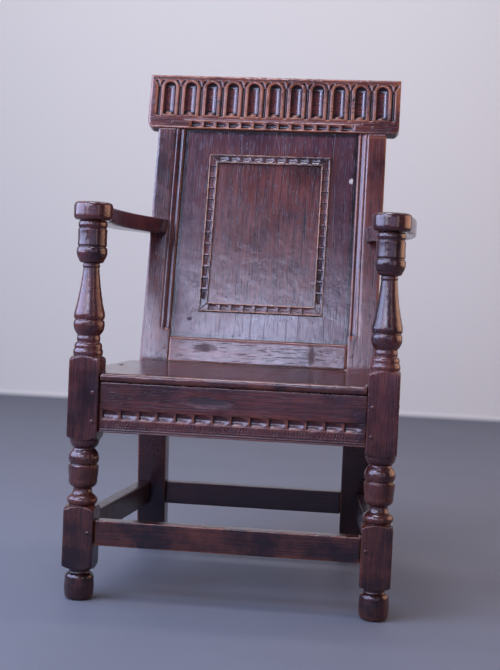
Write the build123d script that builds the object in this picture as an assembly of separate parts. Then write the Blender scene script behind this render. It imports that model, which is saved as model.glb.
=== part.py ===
from build123d import *
import os
from math import atan, cos, degrees, radians, sin, tan

# A joined oak armchair of the wainscot kind: turned front posts, stiles bent at the
# seat, a panelled back under a carved crest rail, and draw-bored oak pegs in every joint.
# Left is -X and right is +X for someone who faces the chair, whose front looks to -Y.
# While it is built, y = 0 is the front face of the front posts and z = 0 is the floor.

# ---------------------------------------------------------------- driving dimensions
# The frame as a whole
width_over_posts = 600.0
width_over_stiles = 508.0
seat_depth = 420.0  # front face of the posts to the front face of the stiles, at the knee
seat_height = 421.0
back_rake = 12.6  # degrees
leg_splay = 8.0  # degrees
knee_drop = 6.0  # the stile bends this far below the top of the seat

# Clearances
tenon_clearance = 0.2
peg_clearance = 0.1
seat_clearance = 0.3
panel_clearance = 0.2

# Front posts
post_size = 57.0
post_corner_diameter = 83.0  # the lathe clears the corners of the square blocks
block_shoulder_rise = 9.0
block_shoulder_swell = 1.5
block_below_rail = 15.0
block_above_seat = 28.0
block_below_stretcher = 45.0
block_above_stretcher = 24.0
arm_pin_diameter = 25.0
arm_pin_length = 22.0

# The turned members of the posts, from the floor to the arm
foot_sole_diameter = 42.0
foot_diameter = 54.0
foot_toe_rise = 10.0
foot_toe_swell = 2.0
foot_waist_swell = 1.0
foot_shoulder_rise = 12.0
foot_shoulder_diameter = 44.0
foot_shoulder_swell = 2.0
foot_neck_diameter = 41.0
foot_neck_rise = 9.0
foot_neck_hollow = 1.0
low_ring_rise = 20.0
low_ring_diameter = 46.0
low_ring_swell = 6.2
low_flare_top_diameter = 34.0
low_flare_base_diameter = 41.0
low_flare_rise = 12.0
low_flare_hollow = 1.0
cup_round_rise = 17.0
cup_round_diameter = 53.0
cup_round_swell = 4.2
cup_rim_diameter = 56.0
cup_rim_swell = 0.7
high_ring_rise = 25.5
high_ring_base_diameter = 53.0
high_ring_top_diameter = 42.0
high_ring_swell = 4.5
under_block_rise = 16.0
under_block_swell = 2.6
quirk_width = 2.5
quirk_depth = 2.0
pommel_rise = 13.5
pommel_diameter = 54.0
pommel_cap_rise = 11.5
pommel_cap_diameter = 46.0
pommel_swell = 1.8
collar_rise = 13.0
collar_diameter = 41.0
collar_swell = 1.4
bowl_rise = 27.5
bowl_diameter = 56.0
bowl_swell = 4.2
vase_belly_rise = 15.0
vase_belly_diameter = 54.5
vase_belly_swell = 1.2
vase_neck_diameter = 30.0
vase_hollow = 1.7
vase_bead_rise = 5.0
vase_bead_swell = 1.6
cap_neck_rise = 2.5
cap_flare_rise = 4.5
cap_flare_diameter = 34.0
cap_flare_swell = 2.0
cap_lip_rise = 3.0
cap_lip_diameter = 46.5
cap_lip_swell = 0.7
cap_cup_rise = 21.5
cap_cup_base_diameter = 49.5
cap_cup_diameter = 54.5
cap_cup_swell = 2.4
cap_drum_rise = 31.0
cap_drum_hollow = 0.6
arm_bead_rise = 15.5
arm_bead_diameter = 51.0
arm_bead_swell = 2.6

# Stiles, which are the back legs too
stile_width = 62.0
stile_thickness = 44.0
knee_radius = 90.0
stile_head_tenon_width = 40.0
stile_head_tenon_height = 32.0
run_moulding_width = 22.0
run_moulding_depth = 6.0
run_moulding_stop = 15.0  # the moulding stops this far above the lower back rail
run_cove_width = 13.0
run_cove_turn_place = 4.3  # a point that the cove passes, from the inner edge of the stile
run_cove_turn_depth = 3.7
run_quirk_width = 2.4
run_quirk_depth = 1.6

# Seat rails and stretchers
tenon_length = 27.0
tenon_thickness = 9.0
tenon_shoulder = 5.0
seat_rail_bottom = 311.0
front_rail_thickness = 27.0
front_rail_setback = 10.0
side_rail_thickness = 27.0
side_rail_front_inset = 11.0  # outer face of the post to the outer face of the rail
side_rail_rear_inset = 2.0  # outer face of the stile to the outer face of the rail
rear_rail_thickness = 26.0
front_stretcher_bottom = 103.0
front_stretcher_height = 47.0
front_stretcher_thickness = 30.0
front_stretcher_setback = 8.0
side_stretcher_bottom = 106.0
side_stretcher_height = 48.0
side_stretcher_thickness = 27.0
side_stretcher_front_inset = 15.0
side_stretcher_rear_inset = 2.5
back_stretcher_thickness = 27.0
rail_bead_height = 4.2  # two beads run along the lower edge of the front rail
rail_bead_quirk = 1.6
rail_band_centre = 34.0  # above the lower edge of the front rail
rail_band_height = 17.5
rail_gouge_count = 14
rail_gouge_margin = 5.6  # plain wood between the last gouge cut and the post

# Seat
seat_board_thickness = 17.0
seat_nosing_setback = 3.0
seat_side_inset = 3.0  # at the front, from the posts' outer faces in to the board's edge
seat_rear_reach = 20.0  # at the back, from the stiles' outer faces out to the board's edge
seat_tail = 26.0  # how far the board runs in between the stiles
seat_nosing_radius = 7.0
seat_edge_radius = 4.0

# Back, measured up the slope from the knee
lower_back_rail_top = 64.0
panel_opening_height = 471.0
back_rail_thickness = 30.0
lower_back_rail_bevel = 5.0
panel_setback = 9.0
panel_thickness = 12.0
panel_edge_thickness = 7.0
panel_edge_in_groove = 8.0
panel_bevel_width = 40.0
crest_height = 126.0
crest_width = 562.0
crest_thickness = 34.0
crest_corner_radius = 17.0
crest_edge_radius = 3.0
flute_count = 11
flute_pitch = 47.6
flute_width = 23.5
flute_depth = 7.0
flute_foot = 33.0  # above the lower edge of the crest
flute_crown = 110.0
vein_width = 8.0
vein_depth = 3.8
crest_band_centre = 11.0
crest_band_height = 12.0
crest_gouge_count = 13
crest_gouge_pitch = 28.0
gouge_depth = 3.8
gouge_land = 4.0  # left standing between one gouge cut and the next

# Moulding planted on the panel
moulding_margin = 57.5
moulding_width = 19.5
moulding_height = 7.0
moulding_fillet = 3.0
moulding_channel_depth = 1.6
moulding_notch_depth = 3.6
moulding_notch_pitch = 25.5
moulding_notch_land = 5.0

# Arms
arm_underside = 697.0
arm_thickness = 34.0
arm_hand_diameter = 72.0
arm_hand_radius = 8.0
arm_front_width = 48.0
arm_bow_width = 58.0
arm_rear_width = 46.0
arm_bow_reach = 20.0  # how far the arm bows past the outer face of the post
arm_bow_place = 195.0  # from the front face of the post to the widest part of the bow
arm_rear_inset = 2.0
arm_edge_radius = 5.0
arm_tenon_length = 25.0
arm_tenon_width = 14.0
arm_tenon_height = 20.0

# Pegs
peg_diameter = 8.0
peg_length = 42.0
side_peg_length = 32.0
peg_proud = 1.0
peg_from_shoulder = 10.0
stile_peg_from_face = 12.0
rail_peg_from_edge = 20.0
crest_peg_rise = 14.0
crest_peg_length = 30.0
seat_peg_length = 40.0
seat_front_peg_x = 150.0
seat_side_peg_y = 250.0

# Drawing aids
overrun = 1.0  # how far a cutter stands out of the face it cuts
same_place = 0.01  # two places nearer than this are one

# ------------------------------------------------------------------ worked-out places
half_width = width_over_posts / 2
half_back = width_over_stiles / 2
post_x = half_width - post_size / 2
post_y = post_size / 2
post_inner_x = half_width - post_size
stile_x = half_back - stile_width / 2
opening_half = half_back - stile_width
seat_rail_top = seat_height - seat_board_thickness
knee_height = seat_height - knee_drop
front_stretcher_top = front_stretcher_bottom + front_stretcher_height
side_stretcher_top = side_stretcher_bottom + side_stretcher_height
crest_bottom = lower_back_rail_top + panel_opening_height
opening_middle = lower_back_rail_top + panel_opening_height / 2
arm_top = arm_underside + arm_thickness
arm_middle = arm_underside + arm_thickness / 2
rake = radians(back_rake)
splay = radians(leg_splay)

# The back is drawn as it is seen square on: x across, y up the slope from the knee,
# and z out of the front faces of the stiles. This frame puts such a drawing in place.
back_frame = Plane(
    origin=(0, seat_depth, knee_height),
    x_dir=(1, 0, 0),
    z_dir=(0, -cos(rake), sin(rake)),
)

front_reach = arm_hand_diameter / 2 - post_y
crest_top = crest_bottom + crest_height
back_reach = seat_depth + crest_top * sin(rake) + crest_thickness * cos(rake)
middle_y = (back_reach - front_reach) / 2


def stile_front(height):
    # y of the front face of a stile at a height above the floor
    if height < knee_height:
        return seat_depth + (knee_height - height) * tan(splay)
    return seat_depth + (height - knee_height) * tan(rake)


def leg_middle(height):
    # y of the middle of a back leg at a height below the knee
    return stile_front(height) + stile_thickness / cos(splay) / 2


def in_back(shape):
    return back_frame.location * shape


def block(x0, x1, y0, y1, z0, z1):
    # a box between two corners
    size = (x1 - x0, y1 - y0, z1 - z0)
    return Pos((x0 + x1) / 2, (y0 + y1) / 2, (z0 + z1) / 2) * Box(*size)


def bar(start, end, bottom, top, thickness, grow=0.0):
    # a straight bar of timber between two points of the plan, on its middle line
    run = Vector(*end) - Vector(*start)
    middle = (Vector(*start) + Vector(*end)) / 2
    place = Plane(
        origin=(middle.X, middle.Y, (bottom + top) / 2),
        x_dir=(run.X, run.Y, 0),
        z_dir=(0, 0, 1),
    )
    return place.location * Box(
        run.length + 2 * grow,
        thickness + 2 * grow,
        top - bottom + 2 * grow,
    )


def mirrored(shape):
    return shape.mirror(Plane.YZ)


# ---------------------------------------------------------------------- front posts
def turned(bottom, diameter, members):
    # each member is its rise, its diameter at the top and how far its side swells out
    height = bottom
    radius = diameter / 2
    edges = [Line((0, 0, height), (radius, 0, height))]
    for rise, top_diameter, swell in members:
        start = (radius, 0, height)
        end = (top_diameter / 2, 0, height + rise)
        if swell:
            middle = ((start[0] + end[0]) / 2 + swell, 0, height + rise / 2)
            edges.append(Spline(start, middle, end))
        else:
            edges.append(Line(start, end))
        radius = top_diameter / 2
        height += rise
    edges.append(Line((radius, 0, height), (0, 0, height)))
    edges.append(Line((0, 0, height), (0, 0, bottom)))
    return revolve(Face(Wire(edges)), Axis.Z)


def quirk(diameter):
    # a narrow groove under a member of this diameter
    return [
        (0, diameter - 2 * quirk_depth, 0),
        (quirk_width, diameter - 2 * quirk_depth, 0),
        (0, diameter, 0),
    ]


def rise_of(members):
    return sum(rise for rise, _, _ in members)


def square_block(height):
    # the lathe leaves each face of the square with an arched shoulder at both ends
    return [
        (0, post_size, 0),
        (block_shoulder_rise, post_corner_diameter, block_shoulder_swell),
        (height - 2 * block_shoulder_rise, post_corner_diameter, 0),
        (block_shoulder_rise, post_size, block_shoulder_swell),
    ]


lower_block_bottom = front_stretcher_bottom - block_below_stretcher
lower_block_top = front_stretcher_top + block_above_stretcher
upper_block_bottom = seat_rail_bottom - block_below_rail
upper_block_top = seat_height + block_above_seat


def foot_members():
    fixed = foot_toe_rise + foot_shoulder_rise + foot_neck_rise
    return [
        (foot_toe_rise, foot_diameter, foot_toe_swell),
        (lower_block_bottom - fixed, foot_diameter, foot_waist_swell),
        (foot_shoulder_rise, foot_shoulder_diameter, foot_shoulder_swell),
        (0, foot_neck_diameter, 0),
        (foot_neck_rise, foot_neck_diameter, -foot_neck_hollow),
    ]


def middle_members():
    # from the lower block to the upper one: a ring, a cup that fills the height, a ring
    below = [
        (0, low_ring_diameter, 0),
        (low_ring_rise, low_ring_diameter - quirk_width, low_ring_swell),
        (0, low_flare_base_diameter, 0),
        (low_flare_rise, low_flare_top_diameter, -low_flare_hollow),
        (cup_round_rise, cup_round_diameter, cup_round_swell),
    ]
    above = quirk(high_ring_base_diameter) + [
        (high_ring_rise, high_ring_top_diameter, high_ring_swell),
        (quirk_width, high_ring_top_diameter - quirk_depth, 0),
        (under_block_rise, post_size - quirk_depth, under_block_swell),
    ]
    space = upper_block_bottom - lower_block_top
    cup = space - rise_of(below) - rise_of(above)
    return below + [(cup, cup_rim_diameter, cup_rim_swell)] + above


def arm_members():
    # from the upper block to the arm: the hollow of the vase takes up the height
    below = [
        (0, pommel_diameter - quirk_depth, 0),
        (pommel_rise, pommel_diameter - quirk_depth, pommel_swell),
        (0, pommel_diameter - 2 * quirk_depth, 0),
        (pommel_cap_rise, pommel_cap_diameter, pommel_swell),
        (0, collar_diameter, 0),
        (collar_rise, collar_diameter, collar_swell),
        (bowl_rise, bowl_diameter, bowl_swell),
        *quirk(bowl_diameter),
        (vase_belly_rise, vase_belly_diameter, vase_belly_swell),
    ]
    above = [
        (vase_bead_rise, vase_neck_diameter, vase_bead_swell),
        (cap_neck_rise, vase_neck_diameter, 0),
        (0, cap_flare_diameter, 0),
        (cap_flare_rise, cap_lip_diameter, cap_flare_swell),
        (cap_lip_rise, cap_lip_diameter, cap_lip_swell),
        (0, cap_cup_base_diameter, 0),
        (cap_cup_rise, cap_cup_diameter, cap_cup_swell),
        *quirk(cap_cup_diameter),
        (cap_drum_rise, cap_cup_diameter, -cap_drum_hollow),
        (0, arm_bead_diameter - quirk_depth, 0),
        (arm_bead_rise, arm_bead_diameter - quirk_depth, arm_bead_swell),
    ]
    space = arm_underside - upper_block_top
    vase = space - rise_of(below) - rise_of(above)
    return below + [(vase, vase_neck_diameter, -vase_hollow)] + above


def right_post_blank():
    members = foot_members()
    members += square_block(lower_block_top - lower_block_bottom)
    members += middle_members()
    members += square_block(upper_block_top - upper_block_bottom)
    members += arm_members()
    members += [(0, arm_pin_diameter, 0), (arm_pin_length, arm_pin_diameter, 0)]
    turning = turned(0, foot_sole_diameter, members)
    height = arm_underside + arm_pin_length
    square = Pos(0, 0, height / 2) * Box(post_size, post_size, height)
    return Pos(post_x, post_y, 0) * (turning & square)


# --------------------------------------------------------------------------- stiles
def right_stile_blank():
    # side view, bent forward at the knee, with the same thickness above and below it
    half_bend = (rake + splay) / 2
    knee = Vector(seat_depth, knee_height)
    across = Vector(cos(rake) + cos(splay), sin(splay) - sin(rake)).normalized()
    knee_back = knee + across * (stile_thickness / cos(half_bend))
    head = knee + Vector(sin(rake), cos(rake)) * crest_bottom
    head_back = head + Vector(cos(rake), -sin(rake)) * stile_thickness
    foot = Vector(stile_front(0), 0)
    foot_back = foot + Vector(stile_thickness / cos(splay), 0)
    corners = [foot, knee, head, head_back, knee_back, foot_back]
    outline = Polyline([(0, c.X, c.Y) for c in corners], close=True)
    side = Face(Wire(outline.edges()))
    bends = [v for v in side.vertices() if abs(v.Z - knee_height) < stile_thickness / 2]
    side = side.fillet_2d(knee_radius, bends)
    return Pos(half_back - stile_width, 0, 0) * extrude(side, stile_width, dir=(1, 0, 0))


def stile_head_tenon(grow=0.0):
    # the tenon on top of the right stile, which the crest rail sits over
    half = stile_head_tenon_width / 2 + grow
    middle = -crest_thickness / 2
    return in_back(
        block(
            stile_x - half,
            stile_x + half,
            crest_bottom - grow,
            crest_bottom + stile_head_tenon_height + grow,
            middle - tenon_thickness / 2 - grow,
            middle + tenon_thickness / 2 + grow,
        )
    )


def run_moulding():
    # what the plane takes off the inner edge of the right stile: a cove and a quirk
    low = lower_back_rail_top + run_moulding_stop
    length = crest_bottom - low
    inner = opening_half
    cove = [
        Line((inner, low, -run_moulding_depth), (inner, low, overrun)),
        Line((inner, low, overrun), (inner + run_cove_width, low, overrun)),
        Line(
            (inner + run_cove_width, low, overrun),
            (inner + run_cove_width, low, -run_quirk_depth),
        ),
        ThreePointArc(
            (inner + run_cove_width, low, -run_quirk_depth),
            (inner + run_cove_turn_place, low, -run_cove_turn_depth),
            (inner, low, -run_moulding_depth),
        ),
    ]
    outer = inner + run_moulding_width
    groove = Polyline(
        [
            (outer, low, 0),
            (outer - run_quirk_width / 2, low, -run_quirk_depth),
            (outer - run_quirk_width, low, 0),
        ],
        close=True,
    )
    cuts = extrude(Face(Wire(cove)), length, dir=(0, 1, 0))
    cuts += extrude(Face(Wire(groove.edges())), length, dir=(0, 1, 0))
    return in_back(cuts)


def panel_groove():
    # the panel's edges and their room, run all round the opening in stiles and rails
    reach = panel_edge_in_groove + panel_clearance
    return in_back(
        block(
            -opening_half - reach,
            opening_half + reach,
            lower_back_rail_top - reach,
            crest_bottom + reach,
            -panel_setback - panel_edge_thickness - panel_clearance,
            -panel_setback,
        )
    )


# ----------------------------------------------------------- seat rails and stretchers
def leg_pair(bottom, top, thickness, setback):
    # a rail between the front posts: its middle line in plan, from tenon end to tenon end
    y = setback + thickness / 2
    reach = post_inner_x + tenon_length
    return dict(start=(-reach, y), end=(reach, y), bottom=bottom, top=top, thickness=thickness)


def side_run(bottom, top, thickness, front_inset, rear_inset):
    # a rail from the right post to the right stile; the back is narrower than the front
    height = (bottom + top) / 2
    front = Vector(half_width - front_inset - thickness / 2, post_size)
    rear = Vector(half_back - rear_inset - thickness / 2, stile_front(height))
    along = (rear - front).normalized() * tenon_length
    start = front - along
    end = rear + along
    return dict(
        start=(start.X, start.Y),
        end=(end.X, end.Y),
        bottom=bottom,
        top=top,
        thickness=thickness,
    )


def rear_run(bottom, top, thickness):
    y = leg_middle((bottom + top) / 2)
    reach = opening_half + tenon_length
    return dict(start=(-reach, y), end=(reach, y), bottom=bottom, top=top, thickness=thickness)


front_rail = leg_pair(seat_rail_bottom, seat_rail_top, front_rail_thickness, front_rail_setback)
side_rail = side_run(
    seat_rail_bottom,
    seat_rail_top,
    side_rail_thickness,
    side_rail_front_inset,
    side_rail_rear_inset,
)
rear_rail = rear_run(seat_rail_bottom, seat_rail_top, rear_rail_thickness)
front_stretcher = leg_pair(
    front_stretcher_bottom,
    front_stretcher_top,
    front_stretcher_thickness,
    front_stretcher_setback,
)
side_stretcher = side_run(
    side_stretcher_bottom,
    side_stretcher_top,
    side_stretcher_thickness,
    side_stretcher_front_inset,
    side_stretcher_rear_inset,
)
back_stretcher = rear_run(side_stretcher_bottom, side_stretcher_top, back_stretcher_thickness)


def tenons(rail, grow=0.0):
    # one tongue runs through the rail and stands out of both its ends
    return bar(
        rail["start"],
        rail["end"],
        rail["bottom"] + tenon_shoulder,
        rail["top"] - tenon_shoulder,
        tenon_thickness,
        grow,
    )


def rail_body(rail):
    return bar(rail["start"], rail["end"], rail["bottom"], rail["top"], rail["thickness"])


def between_posts(rail):
    inside = block(
        -post_inner_x,
        post_inner_x,
        0,
        post_size,
        rail["bottom"],
        rail["top"],
    )
    return (rail_body(rail) & inside) + tenons(rail)


def between_stiles(rail):
    y = rail["start"][1]
    inside = block(
        -opening_half,
        opening_half,
        y - stile_thickness,
        y + stile_thickness,
        rail["bottom"],
        rail["top"],
    )
    return (rail_body(rail) & inside) + tenons(rail)


def between_post_and_stile(rail, stile_blank):
    behind_post = block(
        0,
        width_over_posts,
        post_size,
        2 * seat_depth,
        rail["bottom"],
        rail["top"],
    )
    return ((rail_body(rail) & behind_post) - stile_blank) + tenons(rail)


# ------------------------------------------------------------------------ gouge cuts
def gouge_cut(length, width, depth):
    # as one push of a gouge leaves it: deepest at an upright stop at x = 0, from where it
    # narrows and comes up to the face, z = 0, at x = length; its middle line is y = 0
    radius = (width * width / 4 + depth * depth) / (2 * depth)
    dip = atan(depth / length)
    cutter = Pos(0, 0, radius) * Rot(0, 90, 0) * Cylinder(radius, 4 * length)
    cutter = Pos(0, 0, -depth) * Rot(0, -degrees(dip), 0) * cutter
    keep = block(0, 2 * length, -width, width, -2 * depth, radius)
    return cutter & keep


def gouge_row(count, pitch, width, depth, land):
    # a row of cuts along X about its own middle
    length = pitch - land
    one = Pos(-length / 2, 0, 0) * gouge_cut(length, width, depth)
    first = -(count - 1) * pitch / 2
    return [Pos(first + i * pitch, 0, 0) * one for i in range(count)]


def cut_each(shape, cuts):
    for cut in cuts:
        shape -= cut
    return shape


# ------------------------------------------------------------------------ front rail
def front_rail_cuts():
    face_y = front_rail_setback
    cuts = []
    # on the front face, x runs along the rail and z comes out towards the sitter's feet
    onto_face = Plane(origin=(0, face_y, 0), x_dir=(1, 0, 0), z_dir=(0, -1, 0)).location
    pitch = 2 * (post_inner_x - rail_gouge_margin) / rail_gouge_count
    height = seat_rail_bottom + rail_band_centre
    for cut in gouge_row(rail_gouge_count, pitch, rail_band_height, gouge_depth, gouge_land):
        cuts.append(onto_face * (Pos(0, height, 0) * cut))
    for line in (rail_bead_height, 2 * rail_bead_height):
        groove = Polyline(
            [
                (-post_inner_x, face_y, seat_rail_bottom + line + rail_bead_quirk / 2),
                (-post_inner_x, face_y + rail_bead_quirk, seat_rail_bottom + line),
                (-post_inner_x, face_y, seat_rail_bottom + line - rail_bead_quirk / 2),
            ],
            close=True,
        )
        cuts.append(extrude(Face(Wire(groove.edges())), 2 * post_inner_x, dir=(1, 0, 0)))
    return cuts


# ------------------------------------------------------------------------------ seat
def seat_board():
    # notched round the posts and the stiles, with a rounded nosing between the posts
    gap = seat_clearance
    nosing = post_inner_x - gap
    front_side = half_width - seat_side_inset
    rear_side = half_back + seat_rear_reach
    tail = opening_half - gap
    right = [
        (nosing, seat_nosing_setback),
        (nosing, post_size + gap),
        (front_side, post_size + gap),
        (rear_side, seat_depth - gap),
        (tail, seat_depth - gap),
        (tail, seat_depth + seat_tail),
    ]
    left = [(-x, y) for x, y in reversed(right)]
    outline = Polyline([(x, y, seat_rail_top) for x, y in right + left], close=True)
    board = extrude(Face(Wire(outline.edges())), seat_board_thickness, dir=(0, 0, 1))
    nosing_edges = [
        edge
        for edge in board.edges()
        if abs(edge.center().Y - seat_nosing_setback) < same_place
        and edge.length > post_inner_x
    ]
    board = fillet(nosing_edges, seat_nosing_radius)
    side_edges = [
        edge
        for edge in board.edges()
        if abs(edge.center().X) > opening_half and edge.length > seat_depth / 2
    ]
    return fillet(side_edges, seat_edge_radius)


# ------------------------------------------------------------------------------ back
def lower_back_rail():
    # its foot is cut level, so that it stands on the seat board
    height = knee_height + lower_back_rail_top
    body = in_back(
        block(
            -opening_half,
            opening_half,
            -height,
            lower_back_rail_top,
            -back_rail_thickness,
            0,
        )
    )
    top_front = [
        edge
        for edge in body.edges()
        if edge.length > opening_half
        and edge.center().Z > knee_height
    ]
    top_front = sorted(top_front, key=lambda edge: edge.center().Y)[:1]
    body = chamfer(top_front, lower_back_rail_bevel)
    body += lower_back_rail_tenons()
    above_seat = block(
        -width_over_posts,
        width_over_posts,
        0,
        2 * seat_depth,
        seat_height,
        2 * knee_height,
    )
    return (body & above_seat) - panel_groove()


def lower_back_rail_tenons(grow=0.0):
    reach = opening_half + tenon_length + grow
    middle = -back_rail_thickness / 2
    top = lower_back_rail_top - panel_edge_in_groove - tenon_shoulder
    bottom = knee_drop / cos(rake) + back_rail_thickness * tan(rake)
    return in_back(
        block(
            -reach,
            reach,
            bottom - grow,
            top + grow,
            middle - tenon_thickness / 2 - grow,
            middle + tenon_thickness / 2 + grow,
        )
    )


def tapered_slab(half_length):
    # section of the panel: full thickness in the middle, thinned from behind to tongues
    thin = panel_edge_thickness
    tongue = half_length - panel_edge_in_groove - panel_clearance
    flat = tongue - panel_bevel_width
    return [
        (-half_length, 0),
        (half_length, 0),
        (half_length, -thin),
        (tongue, -thin),
        (flat, -panel_thickness),
        (-flat, -panel_thickness),
        (-tongue, -thin),
        (-half_length, -thin),
    ]


def back_panel():
    half_across = opening_half + panel_edge_in_groove
    half_up = panel_opening_height / 2 + panel_edge_in_groove
    across = Polyline(
        [(x, -half_up, z) for x, z in tapered_slab(half_across)], close=True
    )
    up = Polyline(
        [(-half_across, y, z) for y, z in tapered_slab(half_up)], close=True
    )
    slab = extrude(Face(Wire(across.edges())), 2 * half_up, dir=(0, 1, 0))
    slab &= extrude(Face(Wire(up.edges())), 2 * half_across, dir=(1, 0, 0))
    return in_back(Pos(0, opening_middle, -panel_setback) * slab)


def moulding_strip(length, notch_count):
    # along X, seen from the front: outer edge on y = 0, inner edge on y = moulding_width;
    # the notches have their stops at the -X end
    half = length / 2
    inner_half = half - moulding_width
    outline = Polyline(
        [
            (-half, 0, 0),
            (half, 0, 0),
            (inner_half, moulding_width, 0),
            (-inner_half, moulding_width, 0),
        ],
        close=True,
    )
    strip = extrude(Face(Wire(outline.edges())), moulding_height, dir=(0, 0, 1))
    channel = block(
        -half,
        half,
        moulding_fillet,
        moulding_width - moulding_fillet,
        moulding_height - moulding_channel_depth,
        moulding_height + overrun,
    )
    strip -= channel
    width = moulding_width - 2 * moulding_fillet
    cuts = gouge_row(
        notch_count,
        moulding_notch_pitch,
        width,
        moulding_notch_depth - moulding_channel_depth,
        moulding_notch_land,
    )
    level = moulding_height - moulding_channel_depth
    return cut_each(strip, [Pos(0, moulding_width / 2, level) * cut for cut in cuts])


def panel_mouldings():
    half_across = opening_half - moulding_margin
    half_up = panel_opening_height / 2 - moulding_margin
    count_across = int((2 * half_across - 2 * moulding_width) / moulding_notch_pitch)
    count_up = int((2 * half_up - 2 * moulding_width) / moulding_notch_pitch)
    across = moulding_strip(2 * half_across, count_across)
    up = moulding_strip(2 * half_up, count_up)
    # the notches run from left to right, and down both sides
    pieces = {
        "panel_moulding_bottom": Pos(0, -half_up, 0) * across,
        "panel_moulding_top": Pos(0, half_up, 0) * Rot(0, 0, 180) * mirrored(across),
        "panel_moulding_right": Pos(half_across, 0, 0) * Rot(0, 0, 90) * mirrored(up),
        "panel_moulding_left": Pos(-half_across, 0, 0) * Rot(0, 0, -90) * up,
    }
    place = Pos(0, opening_middle, -panel_setback)
    return {name: in_back(place * strip) for name, strip in pieces.items()}


def flute_cut():
    # an arch-headed hollow, cut square at its foot
    radius = (flute_width * flute_width / 4 + flute_depth * flute_depth) / (2 * flute_depth)
    spring = flute_crown - flute_width / 2
    channel = Pos(0, 0, radius - flute_depth) * Rot(90, 0, 0) * Cylinder(
        radius, spring - flute_foot
    )
    channel = Pos(0, (spring + flute_foot) / 2, 0) * channel
    crown = Pos(0, spring, radius - flute_depth) * Sphere(radius)
    keep = block(
        -flute_width,
        flute_width,
        flute_foot,
        crest_height,
        -flute_depth - overrun,
        overrun,
    )
    return (channel & keep) + (crown & keep)


def vein_cut():
    # the V-shaped vein between two arches
    low = flute_foot - gouge_land
    high = flute_crown - flute_width / 2
    section = Polyline(
        [(-vein_width / 2, low, 0), (vein_width / 2, low, 0), (0, low, -vein_depth)],
        close=True,
    )
    return extrude(Face(Wire(section.edges())), high - low, dir=(0, 1, 0))


def crest_rail(stile_tenon, other_tenon):
    half = crest_width / 2
    outline = Pos(0, crest_height / 2) * Rectangle(crest_width, crest_height)
    low_corners = outline.vertices().sort_by(Axis.Y)[:2]
    outline = fillet(low_corners, crest_corner_radius)
    rail = extrude(outline, -crest_thickness)
    top_edges = [
        edge
        for edge in rail.edges()
        if abs(edge.center().Y - crest_height) < same_place and edge.length > half
    ]
    rail = fillet(top_edges, crest_edge_radius)
    middle = (flute_count - 1) / 2
    cuts = [Pos((i - middle) * flute_pitch, 0, 0) * flute_cut() for i in range(flute_count)]
    cuts += [
        Pos((i - middle - 0.5) * flute_pitch, 0, 0) * vein_cut()
        for i in range(flute_count + 1)
    ]
    cuts += [
        Pos(0, crest_band_centre, 0) * cut
        for cut in gouge_row(
            crest_gouge_count,
            crest_gouge_pitch,
            crest_band_height,
            gouge_depth,
            gouge_land,
        )
    ]
    rail = in_back(Pos(0, crest_bottom, 0) * cut_each(rail, cuts))
    return rail - panel_groove() - stile_tenon - other_tenon


# ------------------------------------------------------------------------------ arms
def right_arm(stile_blank):
    # a round hand over the post, then a flat arm that bows outwards on its way back
    hand = Cylinder(arm_hand_diameter / 2, arm_thickness)
    hand = fillet(hand.edges().filter_by(GeomType.CIRCLE), arm_hand_radius)
    hand = Pos(post_x, post_y, arm_middle) * hand
    outer_bow = half_width + arm_bow_reach
    inner_bow = outer_bow - arm_bow_width
    rear_y = stile_front(arm_top) + stile_thickness / 2
    rear_outer = half_back - arm_rear_inset
    rear_inner = rear_outer - arm_rear_width
    half_front = arm_front_width / 2
    edges = [
        ThreePointArc(
            (post_x + half_front, post_y, 0),
            (outer_bow, arm_bow_place, 0),
            (rear_outer, rear_y, 0),
        ),
        Line((rear_outer, rear_y, 0), (rear_inner, rear_y, 0)),
        ThreePointArc(
            (rear_inner, rear_y, 0),
            (inner_bow, arm_bow_place, 0),
            (post_x - half_front, post_y, 0),
        ),
        Line((post_x - half_front, post_y, 0), (post_x + half_front, post_y, 0)),
    ]
    reach = extrude(Face(Wire(edges)), arm_thickness, dir=(0, 0, 1))
    long_edges = [edge for edge in reach.edges() if edge.length > seat_depth / 2]
    reach = fillet(long_edges, arm_edge_radius)
    reach = Pos(0, 0, arm_underside) * reach
    socket = Pos(post_x, post_y, arm_underside) * Cylinder(
        arm_pin_diameter / 2 + peg_clearance,
        2 * (arm_pin_length + tenon_clearance),
    )
    return ((hand + reach) - stile_blank - socket) + arm_tenon()


def arm_tenon(grow=0.0):
    x = half_back - arm_rear_inset - arm_rear_width / 2
    face = stile_front(arm_middle)
    half_width_here = arm_tenon_width / 2 + grow
    half_height = arm_tenon_height / 2 + grow
    return block(
        x - half_width_here,
        x + half_width_here,
        face - arm_tenon_height,
        face + arm_tenon_length + grow,
        arm_middle - half_height,
        arm_middle + half_height,
    )


# ------------------------------------------------------------------------------ pegs
def peg(surface, into, length, grow=0.0):
    # a round peg driven into a face; its end stands a little proud
    direction = Vector(*into)
    start = Vector(*surface) - direction * (peg_proud + grow)
    place = Plane(origin=start, z_dir=direction)
    run = length + peg_proud + 2 * grow
    solid = Cylinder(
        peg_diameter / 2 + grow,
        run,
        align=(Align.CENTER, Align.CENTER, Align.MIN),
    )
    return place.location * solid


def along(rail, distance):
    # a point of a side rail's middle line, this far in y from the front posts' front faces
    start = Vector(*rail["start"])
    run = Vector(*rail["end"]) - start
    return start + run * ((distance - start.Y) / run.Y)


rail_peg_heights = (seat_rail_bottom + rail_peg_from_edge, seat_rail_top - rail_peg_from_edge)
front_stretcher_middle = (front_stretcher_bottom + front_stretcher_top) / 2
side_stretcher_middle = (side_stretcher_bottom + side_stretcher_top) / 2
post_peg_x = post_inner_x + peg_from_shoulder
stile_peg_x = opening_half + peg_from_shoulder


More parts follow.
